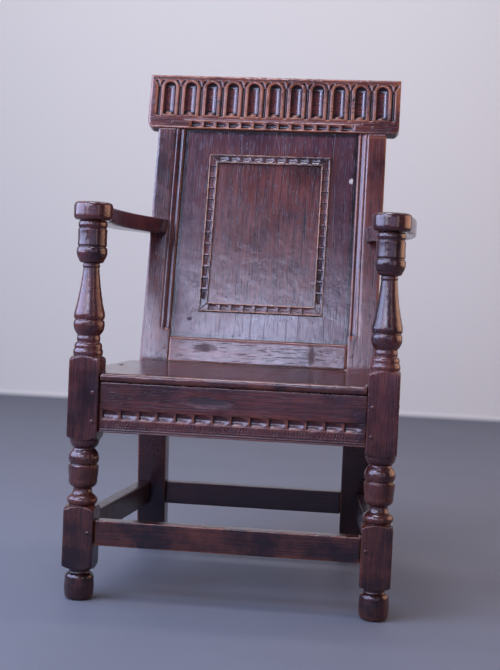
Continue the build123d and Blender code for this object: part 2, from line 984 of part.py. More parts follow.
def side_pegs(heights):
    # through the outer faces of the right post and stile into the tenons of a side rail
    places = []
    for height in heights:
        places.append((half_width, post_size - peg_from_shoulder, height))
        places.append((half_back, stile_front(height) + stile_peg_from_face, height))
    return [(place, (-1, 0, 0)) for place in places]


def rear_pegs(heights):
    # from behind, through the right stile into the tenon of a rear rail
    lean = stile_thickness / cos(splay)
    return [((stile_peg_x, stile_front(height) + lean, height), (0, -1, 0)) for height in heights]


def back_point(x, up):
    return tuple(in_back(Vertex(x, up, 0)).center())


into_back = (0, cos(rake), -sin(rake))

# Pegs of the right half of the chair. The left half has the same ones, mirrored.
right_pegs = {
    "front_rail_pegs": [((post_peg_x, 0, height), (0, 1, 0)) for height in rail_peg_heights],
    "front_stretcher_pegs": [((post_peg_x, 0, front_stretcher_middle), (0, 1, 0))],
    "side_rail_pegs": side_pegs(rail_peg_heights),
    "side_stretcher_pegs": side_pegs([side_stretcher_middle]),
    "rear_rail_pegs": rear_pegs(rail_peg_heights),
    "back_stretcher_pegs": rear_pegs([side_stretcher_middle]),
    "lower_back_rail_pegs": [
        (back_point(stile_peg_x, lower_back_rail_top / 2 + knee_drop), into_back)
    ],
    "crest_pegs": [(back_point(stile_x, crest_bottom + crest_peg_rise), into_back)],
    "arm_pegs": [
        ((half_back, stile_front(arm_middle) + arm_tenon_length / 2, arm_middle), (-1, 0, 0))
    ],
}


def peg_solids(name, grow=0.0):
    solids = []
    for place, into in right_pegs[name]:
        length = peg_length
        if into[0]:
            length = side_peg_length
        if name == "crest_pegs":
            length = crest_peg_length
        solids.append(peg(place, into, length, grow))
    return solids


def seat_pegs(grow=0.0):
    # upright, through the board into the front rail and the right side rail
    side = along(side_rail, seat_side_peg_y)
    places = [(seat_front_peg_x, front_rail["start"][1]), (side.X, side.Y)]
    return [peg((x, y, seat_height), (0, 0, -1), seat_peg_length, grow) for x, y in places]


# -------------------------------------------------------------------------- assembly
def with_left(shape):
    return {"right": shape, "left": mirrored(shape)}


def build_chair():
    pieces = {}
    holes = {name: peg_solids(name, peg_clearance) for name in right_pegs}
    seat_holes = seat_pegs(peg_clearance)

    post = right_post_blank()
    for rail in (front_rail, side_rail, front_stretcher, side_stretcher):
        post -= tenons(rail, tenon_clearance)
    for name in ("front_rail_pegs", "front_stretcher_pegs", "side_rail_pegs", "side_stretcher_pegs"):
        post = cut_each(post, holes[name])

    stile_blank = right_stile_blank()
    stile = stile_blank + stile_head_tenon()
    for rail in (side_rail, rear_rail, side_stretcher, back_stretcher):
        stile -= tenons(rail, tenon_clearance)
    stile -= lower_back_rail_tenons(tenon_clearance)
    stile -= arm_tenon(tenon_clearance)
    stile = stile - panel_groove() - run_moulding()
    for name in (
        "side_rail_pegs",
        "side_stretcher_pegs",
        "rear_rail_pegs",
        "back_stretcher_pegs",
        "lower_back_rail_pegs",
        "crest_pegs",
        "arm_pegs",
    ):
        stile = cut_each(stile, holes[name])

    arm = cut_each(right_arm(stile_blank), holes["arm_pegs"])
    side_seat_rail = between_post_and_stile(side_rail, stile_blank)
    side_seat_rail = cut_each(side_seat_rail, holes["side_rail_pegs"] + seat_holes)
    side_low_rail = between_post_and_stile(side_stretcher, stile_blank)
    side_low_rail = cut_each(side_low_rail, holes["side_stretcher_pegs"])

    paired = {
        "front_post": post,
        "stile": stile,
        "arm": arm,
        "seat_rail": side_seat_rail,
        "stretcher": side_low_rail,
    }
    for name, shape in paired.items():
        for side, solid in with_left(shape).items():
            pieces[f"{side}_{name}"] = solid

    def both_sides(cuts):
        return cuts + [mirrored(cut) for cut in cuts]

    front = cut_each(between_posts(front_rail), front_rail_cuts())
    pieces["front_seat_rail"] = cut_each(
        front, both_sides(holes["front_rail_pegs"]) + both_sides(seat_holes)
    )
    pieces["front_stretcher"] = cut_each(
        between_posts(front_stretcher), both_sides(holes["front_stretcher_pegs"])
    )
    pieces["rear_seat_rail"] = cut_each(
        between_stiles(rear_rail), both_sides(holes["rear_rail_pegs"])
    )
    pieces["back_stretcher"] = cut_each(
        between_stiles(back_stretcher), both_sides(holes["back_stretcher_pegs"])
    )
    pieces["seat_board"] = cut_each(seat_board(), both_sides(seat_holes))
    pieces["lower_back_rail"] = cut_each(
        lower_back_rail(), both_sides(holes["lower_back_rail_pegs"])
    )
    pieces["back_panel"] = back_panel()
    pieces.update(panel_mouldings())
    head_room = stile_head_tenon(tenon_clearance)
    pieces["crest_rail"] = cut_each(
        crest_rail(head_room, mirrored(head_room)), both_sides(holes["crest_pegs"])
    )
    for name in right_pegs:
        pieces[name] = Compound(both_sides(peg_solids(name)))
    pieces["seat_pegs"] = Compound(both_sides(seat_pegs()))
    return pieces


os.makedirs("parts", exist_ok=True)
for name, shape in build_chair().items():
    export_step(Pos(0, -middle_y, 0) * shape, f"parts/{name}.step")
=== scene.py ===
import math

import bmesh
import bpy
import numpy as np
from mathutils import Matrix, Vector
from mathutils.bvhtree import BVHTree


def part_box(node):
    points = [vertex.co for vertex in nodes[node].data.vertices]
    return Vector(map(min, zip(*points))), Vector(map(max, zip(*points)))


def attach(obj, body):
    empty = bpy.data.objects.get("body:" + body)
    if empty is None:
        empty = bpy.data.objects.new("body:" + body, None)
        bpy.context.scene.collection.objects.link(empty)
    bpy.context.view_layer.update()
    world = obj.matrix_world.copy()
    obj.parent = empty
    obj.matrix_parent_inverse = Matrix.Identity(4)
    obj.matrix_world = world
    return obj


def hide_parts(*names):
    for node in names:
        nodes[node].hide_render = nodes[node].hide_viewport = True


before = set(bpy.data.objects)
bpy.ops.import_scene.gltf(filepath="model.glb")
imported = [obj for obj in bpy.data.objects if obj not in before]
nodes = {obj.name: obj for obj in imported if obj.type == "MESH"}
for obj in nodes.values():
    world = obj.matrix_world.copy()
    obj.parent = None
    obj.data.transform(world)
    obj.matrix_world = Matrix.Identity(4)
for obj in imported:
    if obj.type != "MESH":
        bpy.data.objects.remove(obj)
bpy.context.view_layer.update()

print("frame loaded:", len(nodes), "timbers and peg groups")

# The chair stands with its front to -Y; left is -X for someone who faces it.
chair = {
    "seatDepth": 0.420,  # front of the posts to the front of the stiles, at the knee
    "kneeHeight": 0.415,
    "backRake": math.radians(12.6),
    "legSplay": math.radians(8.0),
    "kneeRadius": 0.090,
    "crestBottom": 0.535,  # up the slope of the back, from the knee
    "openingBottom": 0.064,
    "openingHeight": 0.471,
    "panelSetback": 0.009,  # from the front of the stiles back to the face of the panel
}

postLow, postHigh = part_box("right_front_post")
stileLow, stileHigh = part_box("right_stile")
frontY = postLow[1]
kneeY = frontY + chair["seatDepth"]
rakeSine, rakeCosine = math.sin(chair["backRake"]), math.cos(chair["backRake"])

# flat work is drawn as it is seen square on: x across, y up, z out of its face
backPlace = Matrix((
    (1, 0, 0, 0),
    (0, rakeSine, -rakeCosine, kneeY),
    (0, rakeCosine, rakeSine, chair["kneeHeight"]),
    (0, 0, 0, 1),
))


# A node's output that sums can be written with, so that a pattern reads as a formula.
class Formula:
    def __init__(self, socket):
        self.socket = socket
        self.tree = socket.id_data

    def __add__(self, other):
        return calc(self.tree, "ADD", self, other)

    def __sub__(self, other):
        return calc(self.tree, "SUBTRACT", self, other)

    def __rsub__(self, other):
        return calc(self.tree, "SUBTRACT", other, self)

    def __mul__(self, other):
        return calc(self.tree, "MULTIPLY", self, other)

    def __truediv__(self, other):
        return calc(self.tree, "DIVIDE", self, other)

    def __rtruediv__(self, other):
        return calc(self.tree, "DIVIDE", other, self)

    def __mod__(self, other):
        return calc(self.tree, "FLOORED_MODULO", self, other)

    def __pow__(self, other):
        return calc(self.tree, "POWER", self, other)

    def __abs__(self):
        return calc(self.tree, "ABSOLUTE", self)

    __radd__ = __add__

    def atLeast(self, other):
        return calc(self.tree, "MAXIMUM", self, other)

    def atMost(self, other):
        return calc(self.tree, "MINIMUM", self, other)

    def rise(self, start, end):  # 0 before start, 1 after end, with a soft step between
        node = self.tree.nodes.new("ShaderNodeMapRange")
        node.interpolation_type = "SMOOTHSTEP"
        for name, value in (("Value", self), ("From Min", start), ("From Max", end)):
            plug(node.inputs[name], value)
        return Formula(node.outputs[0])


def plug(slot, value):
    if isinstance(value, Formula):
        slot.id_data.links.new(value.socket, slot)
    else:
        slot.default_value = value


def calc(tree, operation, *values):
    node = tree.nodes.new("ShaderNodeMath")
    node.operation = operation
    for slot, value in zip(node.inputs, values):
        plug(slot, value)
    return Formula(node.outputs[0])


def vectorCalc(tree, operation, first, second, output=0):
    node = tree.nodes.new("ShaderNodeVectorMath")
    node.operation = operation
    plug(node.inputs[0], first)
    plug(node.inputs["Scale" if operation == "SCALE" else 1], second)
    return Formula(node.outputs[output])


def separate(tree, vector):
    node = tree.nodes.new("ShaderNodeSeparateXYZ")
    plug(node.inputs[0], vector)
    return [Formula(output) for output in node.outputs]


def combine(tree, x, y, z):
    node = tree.nodes.new("ShaderNodeCombineXYZ")
    for slot, value in zip(node.inputs, (x, y, z)):
        plug(slot, value)
    return Formula(node.outputs[0])


def noiseOf(tree, vector, scale, detail=3.0, roughness=0.55):
    node = tree.nodes.new("ShaderNodeTexNoise")
    names = ("Vector", "Scale", "Detail", "Roughness")
    for name, value in zip(names, (vector, scale, detail, roughness)):
        plug(node.inputs[name], value)
    return Formula(node.outputs[0])


def newTree(name, sizes):
    tree = bpy.data.node_groups.new(name, "GeometryNodeTree")
    tree.interface.new_socket("Geometry", in_out="INPUT", socket_type="NodeSocketGeometry")
    for label in sizes:
        tree.interface.new_socket(label, in_out="INPUT", socket_type="NodeSocketFloat")
    tree.interface.new_socket("Material", in_out="INPUT", socket_type="NodeSocketMaterial")
    tree.interface.new_socket("Geometry", in_out="OUTPUT", socket_type="NodeSocketGeometry")
    start = tree.nodes.new("NodeGroupInput")
    return tree, {output.name: Formula(output) for output in start.outputs if output.name}


def endTree(tree, geometry, material):
    realize = tree.nodes.new("GeometryNodeRealizeInstances")
    finish = tree.nodes.new("GeometryNodeSetMaterial")
    end = tree.nodes.new("NodeGroupOutput")
    plug(realize.inputs[0], geometry)
    tree.links.new(realize.outputs[0], finish.inputs["Geometry"])
    plug(finish.inputs["Material"], material)
    tree.links.new(finish.outputs[0], end.inputs[0])
    return tree


def moved(tree, geometry, offset):
    node = tree.nodes.new("GeometryNodeSetPosition")
    plug(node.inputs["Geometry"], geometry)
    plug(node.inputs["Offset"], offset)
    return Formula(node.outputs[0])


def carved(tree, size, depth, z):
    # sinks a board's face by depth, and leaves its sides and back alone
    offset = combine(tree, 0.0, 0.0, depth * z.rise(-0.002, -0.001) * -1)
    return endTree(tree, moved(tree, size["Geometry"], offset), size["Material"])


def place(tree):
    return Formula(tree.nodes.new("GeometryNodeInputPosition").outputs[0])


def applyTree(piece, tree, **settings):  # runs a tree on a piece and keeps the plain mesh
    modifier = piece.modifiers.new(tree.name, "NODES")
    modifier.node_group = tree
    for item in tree.interface.items_tree:
        name = item.name.replace(" ", "")
        if item.in_out == "INPUT" and name in settings:
            modifier[item.identifier] = settings[name]
    bake(piece)


def bake(piece):
    bpy.context.view_layer.update()
    evaluated = piece.evaluated_get(bpy.context.evaluated_depsgraph_get())
    mesh = bpy.data.meshes.new_from_object(evaluated)
    piece.modifiers.clear()
    old = piece.data
    piece.data = mesh
    bpy.data.meshes.remove(old)


def cutRowTree():
    # a row of gouge cuts along x, in a sunk band: each is deepest at its upright stop, from where
    # the floor comes up to a rounded tip; Turn is 1 for stops on the left and -1 for the right
    labels = ["Pitch", "Land", "Height", "Depth", "Middle", "Count", "Tip", "Sides", "Turn", "Sink"]
    tree, size = newTree("gougeRow", labels)
    x, y, z = separate(tree, place(tree))
    pitch, halfRow = size["Pitch"], size["Count"] * size["Pitch"] / 2
    length = pitch - size["Land"]
    along = ((x * size["Turn"] + halfRow) % pitch - size["Land"] / 2) / length
    across = abs(y - size["Middle"]) / (size["Height"] / 2)
    hollow = 1 - along.atLeast(0) ** size["Tip"] - across ** size["Sides"]
    cut = hollow.atLeast(0) * along.rise(0, 0.025) * size["Depth"]
    cut = cut * (halfRow - abs(x)).rise(0, 0.0004)
    band = (1 - across.rise(1.0, 1.1)) * (halfRow - abs(x)).rise(-0.001, 0) * size["Sink"]
    return carved(tree, size, cut + band, z)


def arcadeTree():
    # arched flutes with a domed foot, a vein between them, nicks round the arch heads and
    # punched ticks up the standing bands
    labels = ["Pitch", "Count", "Middle", "Width", "Depth", "Foot", "Crown", "Dome",
              "Vein Width", "Vein Depth", "Nick Width", "Nick Depth", "Nick Rise", "Margin",
              "Tick Pitch", "Tick Depth"]
    tree, size = newTree("flutedArcade", labels)
    x, y, z = separate(tree, place(tree))
    x = x - size["Middle"]
    pitch, half, foot = size["Pitch"], size["Width"] / 2, size["Foot"]
    spring, halfRow = size["Crown"] - half, size["Count"] * size["Pitch"] / 2
    across = abs((x / pitch + size["Count"] / 2) % 1 - 0.5) * pitch
    above = (y - spring).atLeast(0)
    reach = (across * across + above * above) ** 0.5
    inRow = (halfRow - abs(x)).rise(-0.0005, 0.0005)
    hollow = (1 - (reach / half).atMost(1) ** 2) ** 0.5
    dome = (1 - (across / half * 1.15) ** 2 - ((y - foot) / size["Dome"]) ** 2).atLeast(0) ** 0.5
    flute = hollow * (y - foot).rise(0, 0.0006) * (1 - dome * 0.85) * inRow * size["Depth"]
    veinRow = (halfRow + size["Vein Width"] - abs(x)).rise(-0.0005, 0.0005)
    vein = (1 - (pitch / 2 - across) / (size["Vein Width"] / 2)).atLeast(0) ** 0.8
    vein = vein * (y - foot + 0.003).rise(0, 0.002) * (1 - (y - spring).rise(0.001, 0.004))
    vein = vein * veinRow * size["Vein Depth"]
    nickRow = (halfRow + size["Margin"] - abs(x)).rise(-0.0005, 0.0005)
    away = abs(reach - pitch / 2 + size["Nick Width"] * 0.3)
    nick = (1 - away / (size["Nick Width"] / 2)).atLeast(0)
    nick = nick * above.rise(0, size["Nick Rise"] * 0.3) * nickRow * size["Nick Depth"]
    nick = nick * (1 - above.rise(size["Nick Rise"] * 0.8, size["Nick Rise"]))
    tick = abs((y / size["Tick Pitch"]) % 1 - 0.5).rise(0.3, 0.5) * (1 - above.rise(0, 0.004))
    tick = tick * (y - foot).rise(0, 0.002) * (reach - half).rise(0.0005, 0.0015) * inRow
    return carved(tree, size, flute + vein.atLeast(nick) + tick * size["Tick Depth"], z)


def tickTree():
    # a band of short upright chisel ticks along x, some struck harder than others
    tree, size = newTree("tickBand", ["Pitch", "Middle", "Height", "Depth", "Half Length"])
    x, y, z = separate(tree, place(tree))
    wander = noiseOf(tree, combine(tree, x * 40, y * 120, 0.0), 1.0, 1.0)
    tick = abs((x / size["Pitch"] + wander * 1.5) % 1 - 0.5).rise(0.25, 0.5)
    struck = noiseOf(tree, combine(tree, x * 70, 0.0, 0.0), 1.0, 2.0).rise(0.35, 0.6)
    inBand = 1 - abs(y - size["Middle"]).rise(size["Height"] * 0.4, size["Height"] * 0.55)
    cut = tick * struck * inBand * (size["Half Length"] - abs(x)).rise(0, 0.002)
    return carved(tree, size, cut * size["Depth"], z)


def dentTree():
    # one long oval hollow, as a knot leaves
    tree, size = newTree("knotHollow", ["Across", "Up", "Length", "Height", "Depth"])
    x, y, z = separate(tree, place(tree))
    lumps = noiseOf(tree, combine(tree, x * 60, y * 160, 0.0), 1.0, 2.0) - 0.5
    away = ((x - size["Across"]) / (size["Length"] / 2)) ** 2
    away = away + ((y - size["Up"]) / (size["Height"] / 2)) ** 2
    cut = 1 - (away + lumps).rise(0, 1.6)
    return carved(tree, size, cut * size["Depth"], z)


def grooveTree():
    # a straight groove along x
    tree, size = newTree("groove", ["Middle", "Width", "Depth", "Half Length"])
    x, y, z = separate(tree, place(tree))
    cut = (1 - abs(y - size["Middle"]) / (size["Width"] / 2)).atLeast(0)
    cut = cut * (size["Half Length"] - abs(x)).rise(-0.001, 0.001)
    return carved(tree, size, cut * size["Depth"], z)


def channelTree():
    # a channel between two fillets, along x
    tree, size = newTree("mouldingProfile", ["Width", "Fillet", "Channel"])
    x, y, z = separate(tree, place(tree))
    edge = abs(y - size["Width"] / 2)
    inner = size["Width"] / 2 - size["Fillet"]
    inside = 1 - edge.rise(inner - 0.0008, inner)
    return carved(tree, size, inside * size["Channel"], z)


def wearTree():
    # rounds and chips what stands out, ripples the faces a little, and keeps how far each point
    # stands out (1) or lies in a hollow (0) as "wear", with a flat face at 0.5; the oak finish
    # paints rubbed wear where it is high and shade where it is low
    labels = ["Reach", "Bulge", "Rounding", "Chips", "Chip Size", "Ripple", "Ripple Size", "Seed"]
    tree, size = newTree("wornEdges", labels)
    here = place(tree)
    blur = tree.nodes.new("GeometryNodeBlurAttribute")
    blur.data_type = "FLOAT_VECTOR"
    plug(blur.inputs["Value"], here)
    plug(blur.inputs["Iterations"], size["Reach"])
    normal = Formula(tree.nodes.new("GeometryNodeInputNormal").outputs[0])
    lean = vectorCalc(tree, "SUBTRACT", here, Formula(blur.outputs[0]))
    bulge = vectorCalc(tree, "DOT_PRODUCT", lean, normal, "Value") / size["Bulge"]
    store = tree.nodes.new("GeometryNodeStoreNamedAttribute")
    store.data_type = "FLOAT"
    store.domain = "POINT"
    store.inputs["Name"].default_value = "wear"
    plug(store.inputs["Geometry"], size["Geometry"])
    plug(store.inputs["Value"], (bulge / 2 + 0.5).atLeast(0).atMost(1))
    shifted = vectorCalc(tree, "ADD", here, combine(tree, size["Seed"], 0.0, 0.0))
    chips = noiseOf(tree, shifted, 1 / size["Chip Size"], 2.0).rise(0.52, 0.75) * size["Chips"]
    ripple = noiseOf(tree, shifted, 1 / size["Ripple Size"], 1.5) * size["Ripple"]
    edge = bulge.atLeast(0).atMost(1)
    offset = vectorCalc(tree, "SCALE", normal, (edge * (chips + size["Rounding"]) + ripple) * -1)
    return endTree(tree, moved(tree, Formula(store.outputs[0]), offset), size["Material"])


gougeRow = cutRowTree()
flutedArcade = arcadeTree()
tickBand = tickTree()
knotHollow = dentTree()
straightGroove = grooveTree()
mouldingProfile = channelTree()
wornEdges = wearTree()
print("node trees built")


def newPiece(name, vertices, faces):
    mesh = bpy.data.meshes.new(name)
    mesh.from_pydata([tuple(v) for v in vertices], [], faces)
    mesh.validate()
    piece = bpy.data.objects.new(name, mesh)
    bpy.context.scene.collection.objects.link(piece)
    return piece


def gridFaces(columns, rows, wrap):
    # quads between the rows of a grid whose points are stored row after row
    faces = []
    for j in range(rows - 1):
        for i in range(columns if wrap else columns - 1):
            right = (i + 1) % columns
            faces.append((j * columns + i, j * columns + right,
                          (j + 1) * columns + right, (j + 1) * columns + i))
    return faces


def tube(name, rings):
    # closed skin over a stack of rings with equal numbers of points, with a fan at each end
    rings = np.array(rings)
    rows, columns = rings.shape[:2]
    faces = gridFaces(columns, rows, True)
    low, high = rows * columns, rows * columns + 1
    last = (rows - 1) * columns
    for i in range(columns):
        right = (i + 1) % columns
        faces.append((right, i, low))
        faces.append((last + i, last + right, high))
    points = np.vstack([rings.reshape(-1, 3), rings[0].mean(axis=0), rings[-1].mean(axis=0)])
    return newPiece(name, points, faces)


def spaced(low, high, step, arris):
    # even places, closer together where the edges are rounded over
    turns = [arris * (1 - math.cos(math.radians(a))) for a in (0, 30, 55, 75)]
    count = max(2, round((high - low - 2 * arris) / step))
    inner = np.linspace(low + arris, high - arris, count)
    return np.concatenate([[low + t for t in turns], inner, [high - t for t in reversed(turns)]])


def boardMesh(name, bottom, top, thickness, halfWidthAt, settings):
    # a board seen square on, with a fine grid on its face, rounded arrises and a plain back
    step, arris = settings["step"], settings["arris"]
    ys = spaced(bottom, top, step, arris)
    widest = max(halfWidthAt(y) for y in ys)
    shares = spaced(-widest, widest, step, arris) / widest
    points = []
    for y in ys:
        half = halfWidthAt(y)
        for share in shares:
            edge = min(y - bottom, top - y, (1 - abs(share)) * half)
            drop = arris - math.sqrt(max(0.0, arris ** 2 - max(0.0, arris - edge) ** 2))
            points.append((share * half, y, -drop))
    columns, rows = len(shares), len(ys)
    faces = gridFaces(columns, rows, False)
    rim = [(i, 0) for i in range(columns)] + [(columns - 1, j) for j in range(1, rows)]
    rim += [(i, rows - 1) for i in range(columns - 2, -1, -1)]
    rim += [(0, j) for j in range(rows - 2, 0, -1)]
    ring = [j * columns + i for i, j in rim]
    edges = [points[k] for k in ring]
    depths = [(arris + (thickness - 2 * arris) * t, 0) for t in (0.25, 0.5, 0.75, 1)]
    depths += [(thickness - arris * 0.3, arris * 0.3), (thickness, arris), (thickness, 3 * arris)]
    depths += [(thickness, 6 * arris)]
    for depth, inset in depths:
        start = len(points)
        for x, y, z in edges:
            half = halfWidthAt(y) - inset
            inY = min(max(y, bottom + inset), top - inset)
            points.append((min(max(x, -half), half), inY, -depth))
        fresh = list(range(start, start + len(ring)))
        for k in range(len(ring)):
            after = (k + 1) % len(ring)
            faces.append((ring[after], ring[k], fresh[k], fresh[after]))
        ring = fresh
    faces.append(tuple(reversed(ring)))
    return newPiece(name, points, faces)


def copyNode(name, node):
    # the CAD timber's mesh as a new piece with its loose triangles joined
    mesh = nodes[node].data.copy()
    piece = bpy.data.objects.new(name, mesh)
    bpy.context.scene.collection.objects.link(piece)
    work = bmesh.new()
    work.from_mesh(mesh)
    bmesh.ops.remove_doubles(work, verts=work.verts, dist=0.00001)
    work.to_mesh(mesh)
    work.free()
    return piece


def wornCopy(name, node, grain, smoothing):
    # the CAD timber with an even skin, fine enough to round its arrises over
    piece = copyNode(name, node)
    remesh = piece.modifiers.new("skin", "REMESH")
    remesh.mode = "VOXEL"
    remesh.voxel_size = grain
    smooth = piece.modifiers.new("soften", "SMOOTH")
    smooth.factor = 0.5
    smooth.iterations = smoothing
    bake(piece)
    return piece


def finish(piece, material, slotName, node, flatOver=4):
    # gives a piece its material and rides it on the chair in place of its CAD node
    mesh = piece.data
    mesh.materials.clear()
    mesh.materials.append(material)
    smooth = np.array([len(face.vertices) <= flatOver for face in mesh.polygons])
    mesh.polygons.foreach_set("use_smooth", smooth)
    mesh.update()
    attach(piece, "root")
    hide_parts(node)


def age(piece, seed, **changes):
    # wears a piece's edges; the reach is in steps from point to point, the rest in metres
    settings = {"Reach": 8.0, "Bulge": 0.0011, "Rounding": 0.0003, "Chips": 0.0012,
                "ChipSize": 0.012, "Ripple": 0.0006, "RippleSize": 0.06, "Seed": float(seed)}
    settings.update(changes)
    applyTree(piece, wornEdges, **settings)


def keepUnworn(piece, covered, most=0.45):
    # takes the rubbed look off what no hand or foot reaches
    for vertex, wear in zip(piece.data.vertices, piece.data.attributes["wear"].data):
        if covered(vertex.co):
            wear.value = min(wear.value, most)


alongX, alongY, alongZ = (1, 0, 0), (0, 1, 0), (0, 0, 1)
upSlope = (0, rakeSine, rakeCosine)


def newMaterial(name):
    material = bpy.data.materials.new(name)
    material.use_nodes = True
    tree = material.node_tree
    return material, tree, tree.nodes["Principled BSDF"]


def mixColours(tree, share, first, second):
    node = tree.nodes.new("ShaderNodeMix")
    node.data_type = "RGBA"
    plug(node.inputs["Factor"], share)
    for label, value in (("A", first), ("B", second)):
        plug(node.inputs[label], value if isinstance(value, Formula) else (*value, 1))
    return Formula(node.outputs["Result"])


oakLook = {
    "deep": (0.014, 0.0048, 0.0068),
    "red": (0.120, 0.027, 0.021),
    # a purple tint painted into the wood as the sheen of bluish light reflected off its polish
    "plum": (0.040, 0.016, 0.032),
    "worn": (0.25, 0.082, 0.036),
    "scuffed": (0.115, 0.030, 0.016),
    # near black: pores, shakes and dirt, and also the painted shade in hollows and corners
    "grime": (0.0040, 0.0022, 0.0030),
    # painted shade: the colour the wood is darkened to low down, under the seat
    "soot": (0.0048, 0.0022, 0.0036),
    "roughness": 0.21,
    "wax": 0.45,
    "waxRoughness": 0.2,
    "gloss": 0.6,
    "glossTint": (0.92, 0.85, 1.0, 1),
    "bumpDepth": 0.0014,
}


def oak(name, grain, seed, polish=1.0, wear=1.0, glow=0.0, scuff=0.0, grime=0.85, dull=0.4,
        relief=0.5, worn=oakLook["worn"], marks=(), opening=None):
    # Old polished oak whose fibres run along grain. Glow makes it redder, scuff is how much feet
    # have rubbed it near the floor, grime is how dark its hollows are painted, as dirt and as
    # painted shade, dull is how little wax lies in them, and relief is the strength of its fine
    # bumps. Marks are spots with their middles, half sizes and colours. Opening is the half width,
    # bottom and top, up the slope, of a panel's opening, whose margin gets a painted purple sheen
    # and whose edge a dark line of dirt and painted shade.
    look = oakLook
    material, tree, shader = newMaterial(name)
    spot = Formula(tree.nodes.new("ShaderNodeTexCoord").outputs["Object"])
    turn = Vector(grain).rotation_difference(Vector(alongX)).to_euler()
    mapping = tree.nodes.new("ShaderNodeMapping")
    plug(mapping.inputs["Vector"], spot)
    mapping.inputs["Rotation"].default_value = turn
    mapping.inputs["Location"].default_value = (seed * 1.7, seed * 0.9, seed * 0.4)
    timber = Formula(mapping.outputs[0])
    along, across, through = separate(tree, timber)

    def fibres(length, width, *detail):  # noise drawn out along the grain
        stretched = combine(tree, along * length, across * width, through * width)
        return noiseOf(tree, stretched, 1.0, *detail)

    fine = fibres(12, 480, 3.0, 0.6)
    broad = fibres(2.2, 60, 3.0, 0.55)
    pores = fibres(32, 520, 1.0).rise(0.62, 0.69)
    shakes = fibres(5, 170, 1.0).rise(0.71, 0.745)
    blotch = noiseOf(tree, timber, 9.0, 4.0, 0.6)
    patina = noiseOf(tree, timber, 34.0, 4.0, 0.65)
    dents = noiseOf(tree, timber, 75.0, 2.0, 0.5)
    grit = noiseOf(tree, timber, 420.0, 1.0, 0.5)
    height = separate(tree, spot)[2]
    kept = tree.nodes.new("ShaderNodeAttribute")
    kept.attribute_name = "wear"
    stands = Formula(kept.outputs["Fac"])
    rubbed = (stands + glow).rise(0.56, 0.95)
    rubbed = rubbed * (patina * 0.9 + blotch * 0.9).rise(0.62, 1.08) * wear
    # hollow marks the recesses; they are painted dark as dirt and as painted shade, and hold less
    # wax
    hollow = 1 - stands.rise(0.05, 0.38)
    cracks = (pores * 0.6).atLeast(shakes * 0.85)
    streaks = (fine * 0.8 + broad * 0.3).rise(0.64, 0.46) * 0.65
    # painted shade: darker towards the floor, below the seat
    underSeatShading = (1 - height.rise(0.08, 0.46)) * 0.9
    scuffs = (blotch * 0.5 + patina * 0.4 + fine * 0.3).rise(0.48, 0.80)
    scuffs = scuffs * (1 - height.rise(0.20, 0.42)) * (stands * 0.9 + 0.2) * scuff

    colour = mixColours(tree, (blotch + glow).rise(0.30, 0.64), look["deep"], look["red"])
    # patches of painted purple sheen, standing in for reflected bluish light
    colour = mixColours(tree, patina.rise(0.45, 0.75) * 0.55, colour, look["plum"])
    colour = mixColours(tree, streaks, colour, look["deep"])
    colour = mixColours(tree, underSeatShading, colour, look["soot"])
    colour = mixColours(tree, scuffs.atMost(0.8), colour, look["scuffed"])
    colour = mixColours(tree, rubbed.atMost(0.85), colour, worn)
    # pores and shakes are painted near black, and the hollows too, as dirt and as painted shade
    colour = mixColours(tree, cracks.atLeast(hollow * grime), colour, look["grime"])
    if opening:
        side, foot, head = opening
        slope = Vector(upSlope)
        up = vectorCalc(tree, "DOT_PRODUCT", spot, slope, "Value")
        up = up - slope.dot(backPlace.translation)
        near = (side - abs(separate(tree, spot)[0])).atMost(up - foot).atMost(head - up)
        # a painted purple sheen over the panel's margin, within a few centimetres of its edge
        marginSheen = 1 - (near + (blotch - 0.5) * 0.05).rise(0.03, 0.07)
        # a dark line painted where the panel meets its frame, as dirt and as painted shade
        edgeDirtAndShade = 1 - (near + (patina - 0.5) * 0.01).rise(0.002, 0.012)
        colour = mixColours(tree, marginSheen * 0.5, colour, look["plum"])
        colour = mixColours(tree, edgeDirtAndShade * 0.9, colour, look["grime"])
    knots = 0.0
    for middle, halfSizes, tone in marks:
        away = vectorCalc(tree, "SUBTRACT", spot, combine(tree, *middle))
        away = vectorCalc(tree, "DIVIDE", away, combine(tree, *halfSizes))
        away = vectorCalc(tree, "DOT_PRODUCT", away, away, "Value")
        mark = 1 - (away + (dents - 0.5) * 3 + (fine - 0.5) * 5).rise(0.2, 1.7)
        colour = mixColours(tree, mark * 0.95, colour, tone)
        knots = mark + knots
    plug(shader.inputs["Base Color"], colour)

    rough = look["roughness"] / polish + (blotch - 0.5) * 0.25 + (fine - 0.5) * 0.15
    rough = rough + cracks * 0.06 + knots * 0.3 + (patina - 0.5) * 0.15
    rough = rough + hollow * (dull * 0.6 - 0.28)
    plug(shader.inputs["Roughness"], rough.atLeast(0.12).atMost(0.9))
    wax = (height.rise(0.05, 0.45) * 0.7 + 0.3) * (1 - (cracks + knots).atMost(0.9))
    wax = wax * (1 - hollow * dull)
    plug(shader.inputs["Coat Weight"], wax * min(1.0, look["wax"] * polish))
    shader.inputs["Coat Roughness"].default_value = look["waxRoughness"]
    shader.inputs["Specular IOR Level"].default_value = look["gloss"]
    shader.inputs["Specular Tint"].default_value = look["glossTint"]
    bump = tree.nodes.new("ShaderNodeBump")
    bump.inputs["Strength"].default_value = relief
    bump.inputs["Distance"].default_value = look["bumpDepth"]
    bumps = fine * 0.12 + broad * 0.2 + patina * 0.3 + dents * 0.2 + grit * 0.05 - cracks * 0.16
    plug(bump.inputs["Height"], bumps * (1 - hollow * 0.75))
    for socket in ("Normal", "Coat Normal"):
        tree.links.new(bump.outputs[0], shader.inputs[socket])
    return material


print("finishes ready")


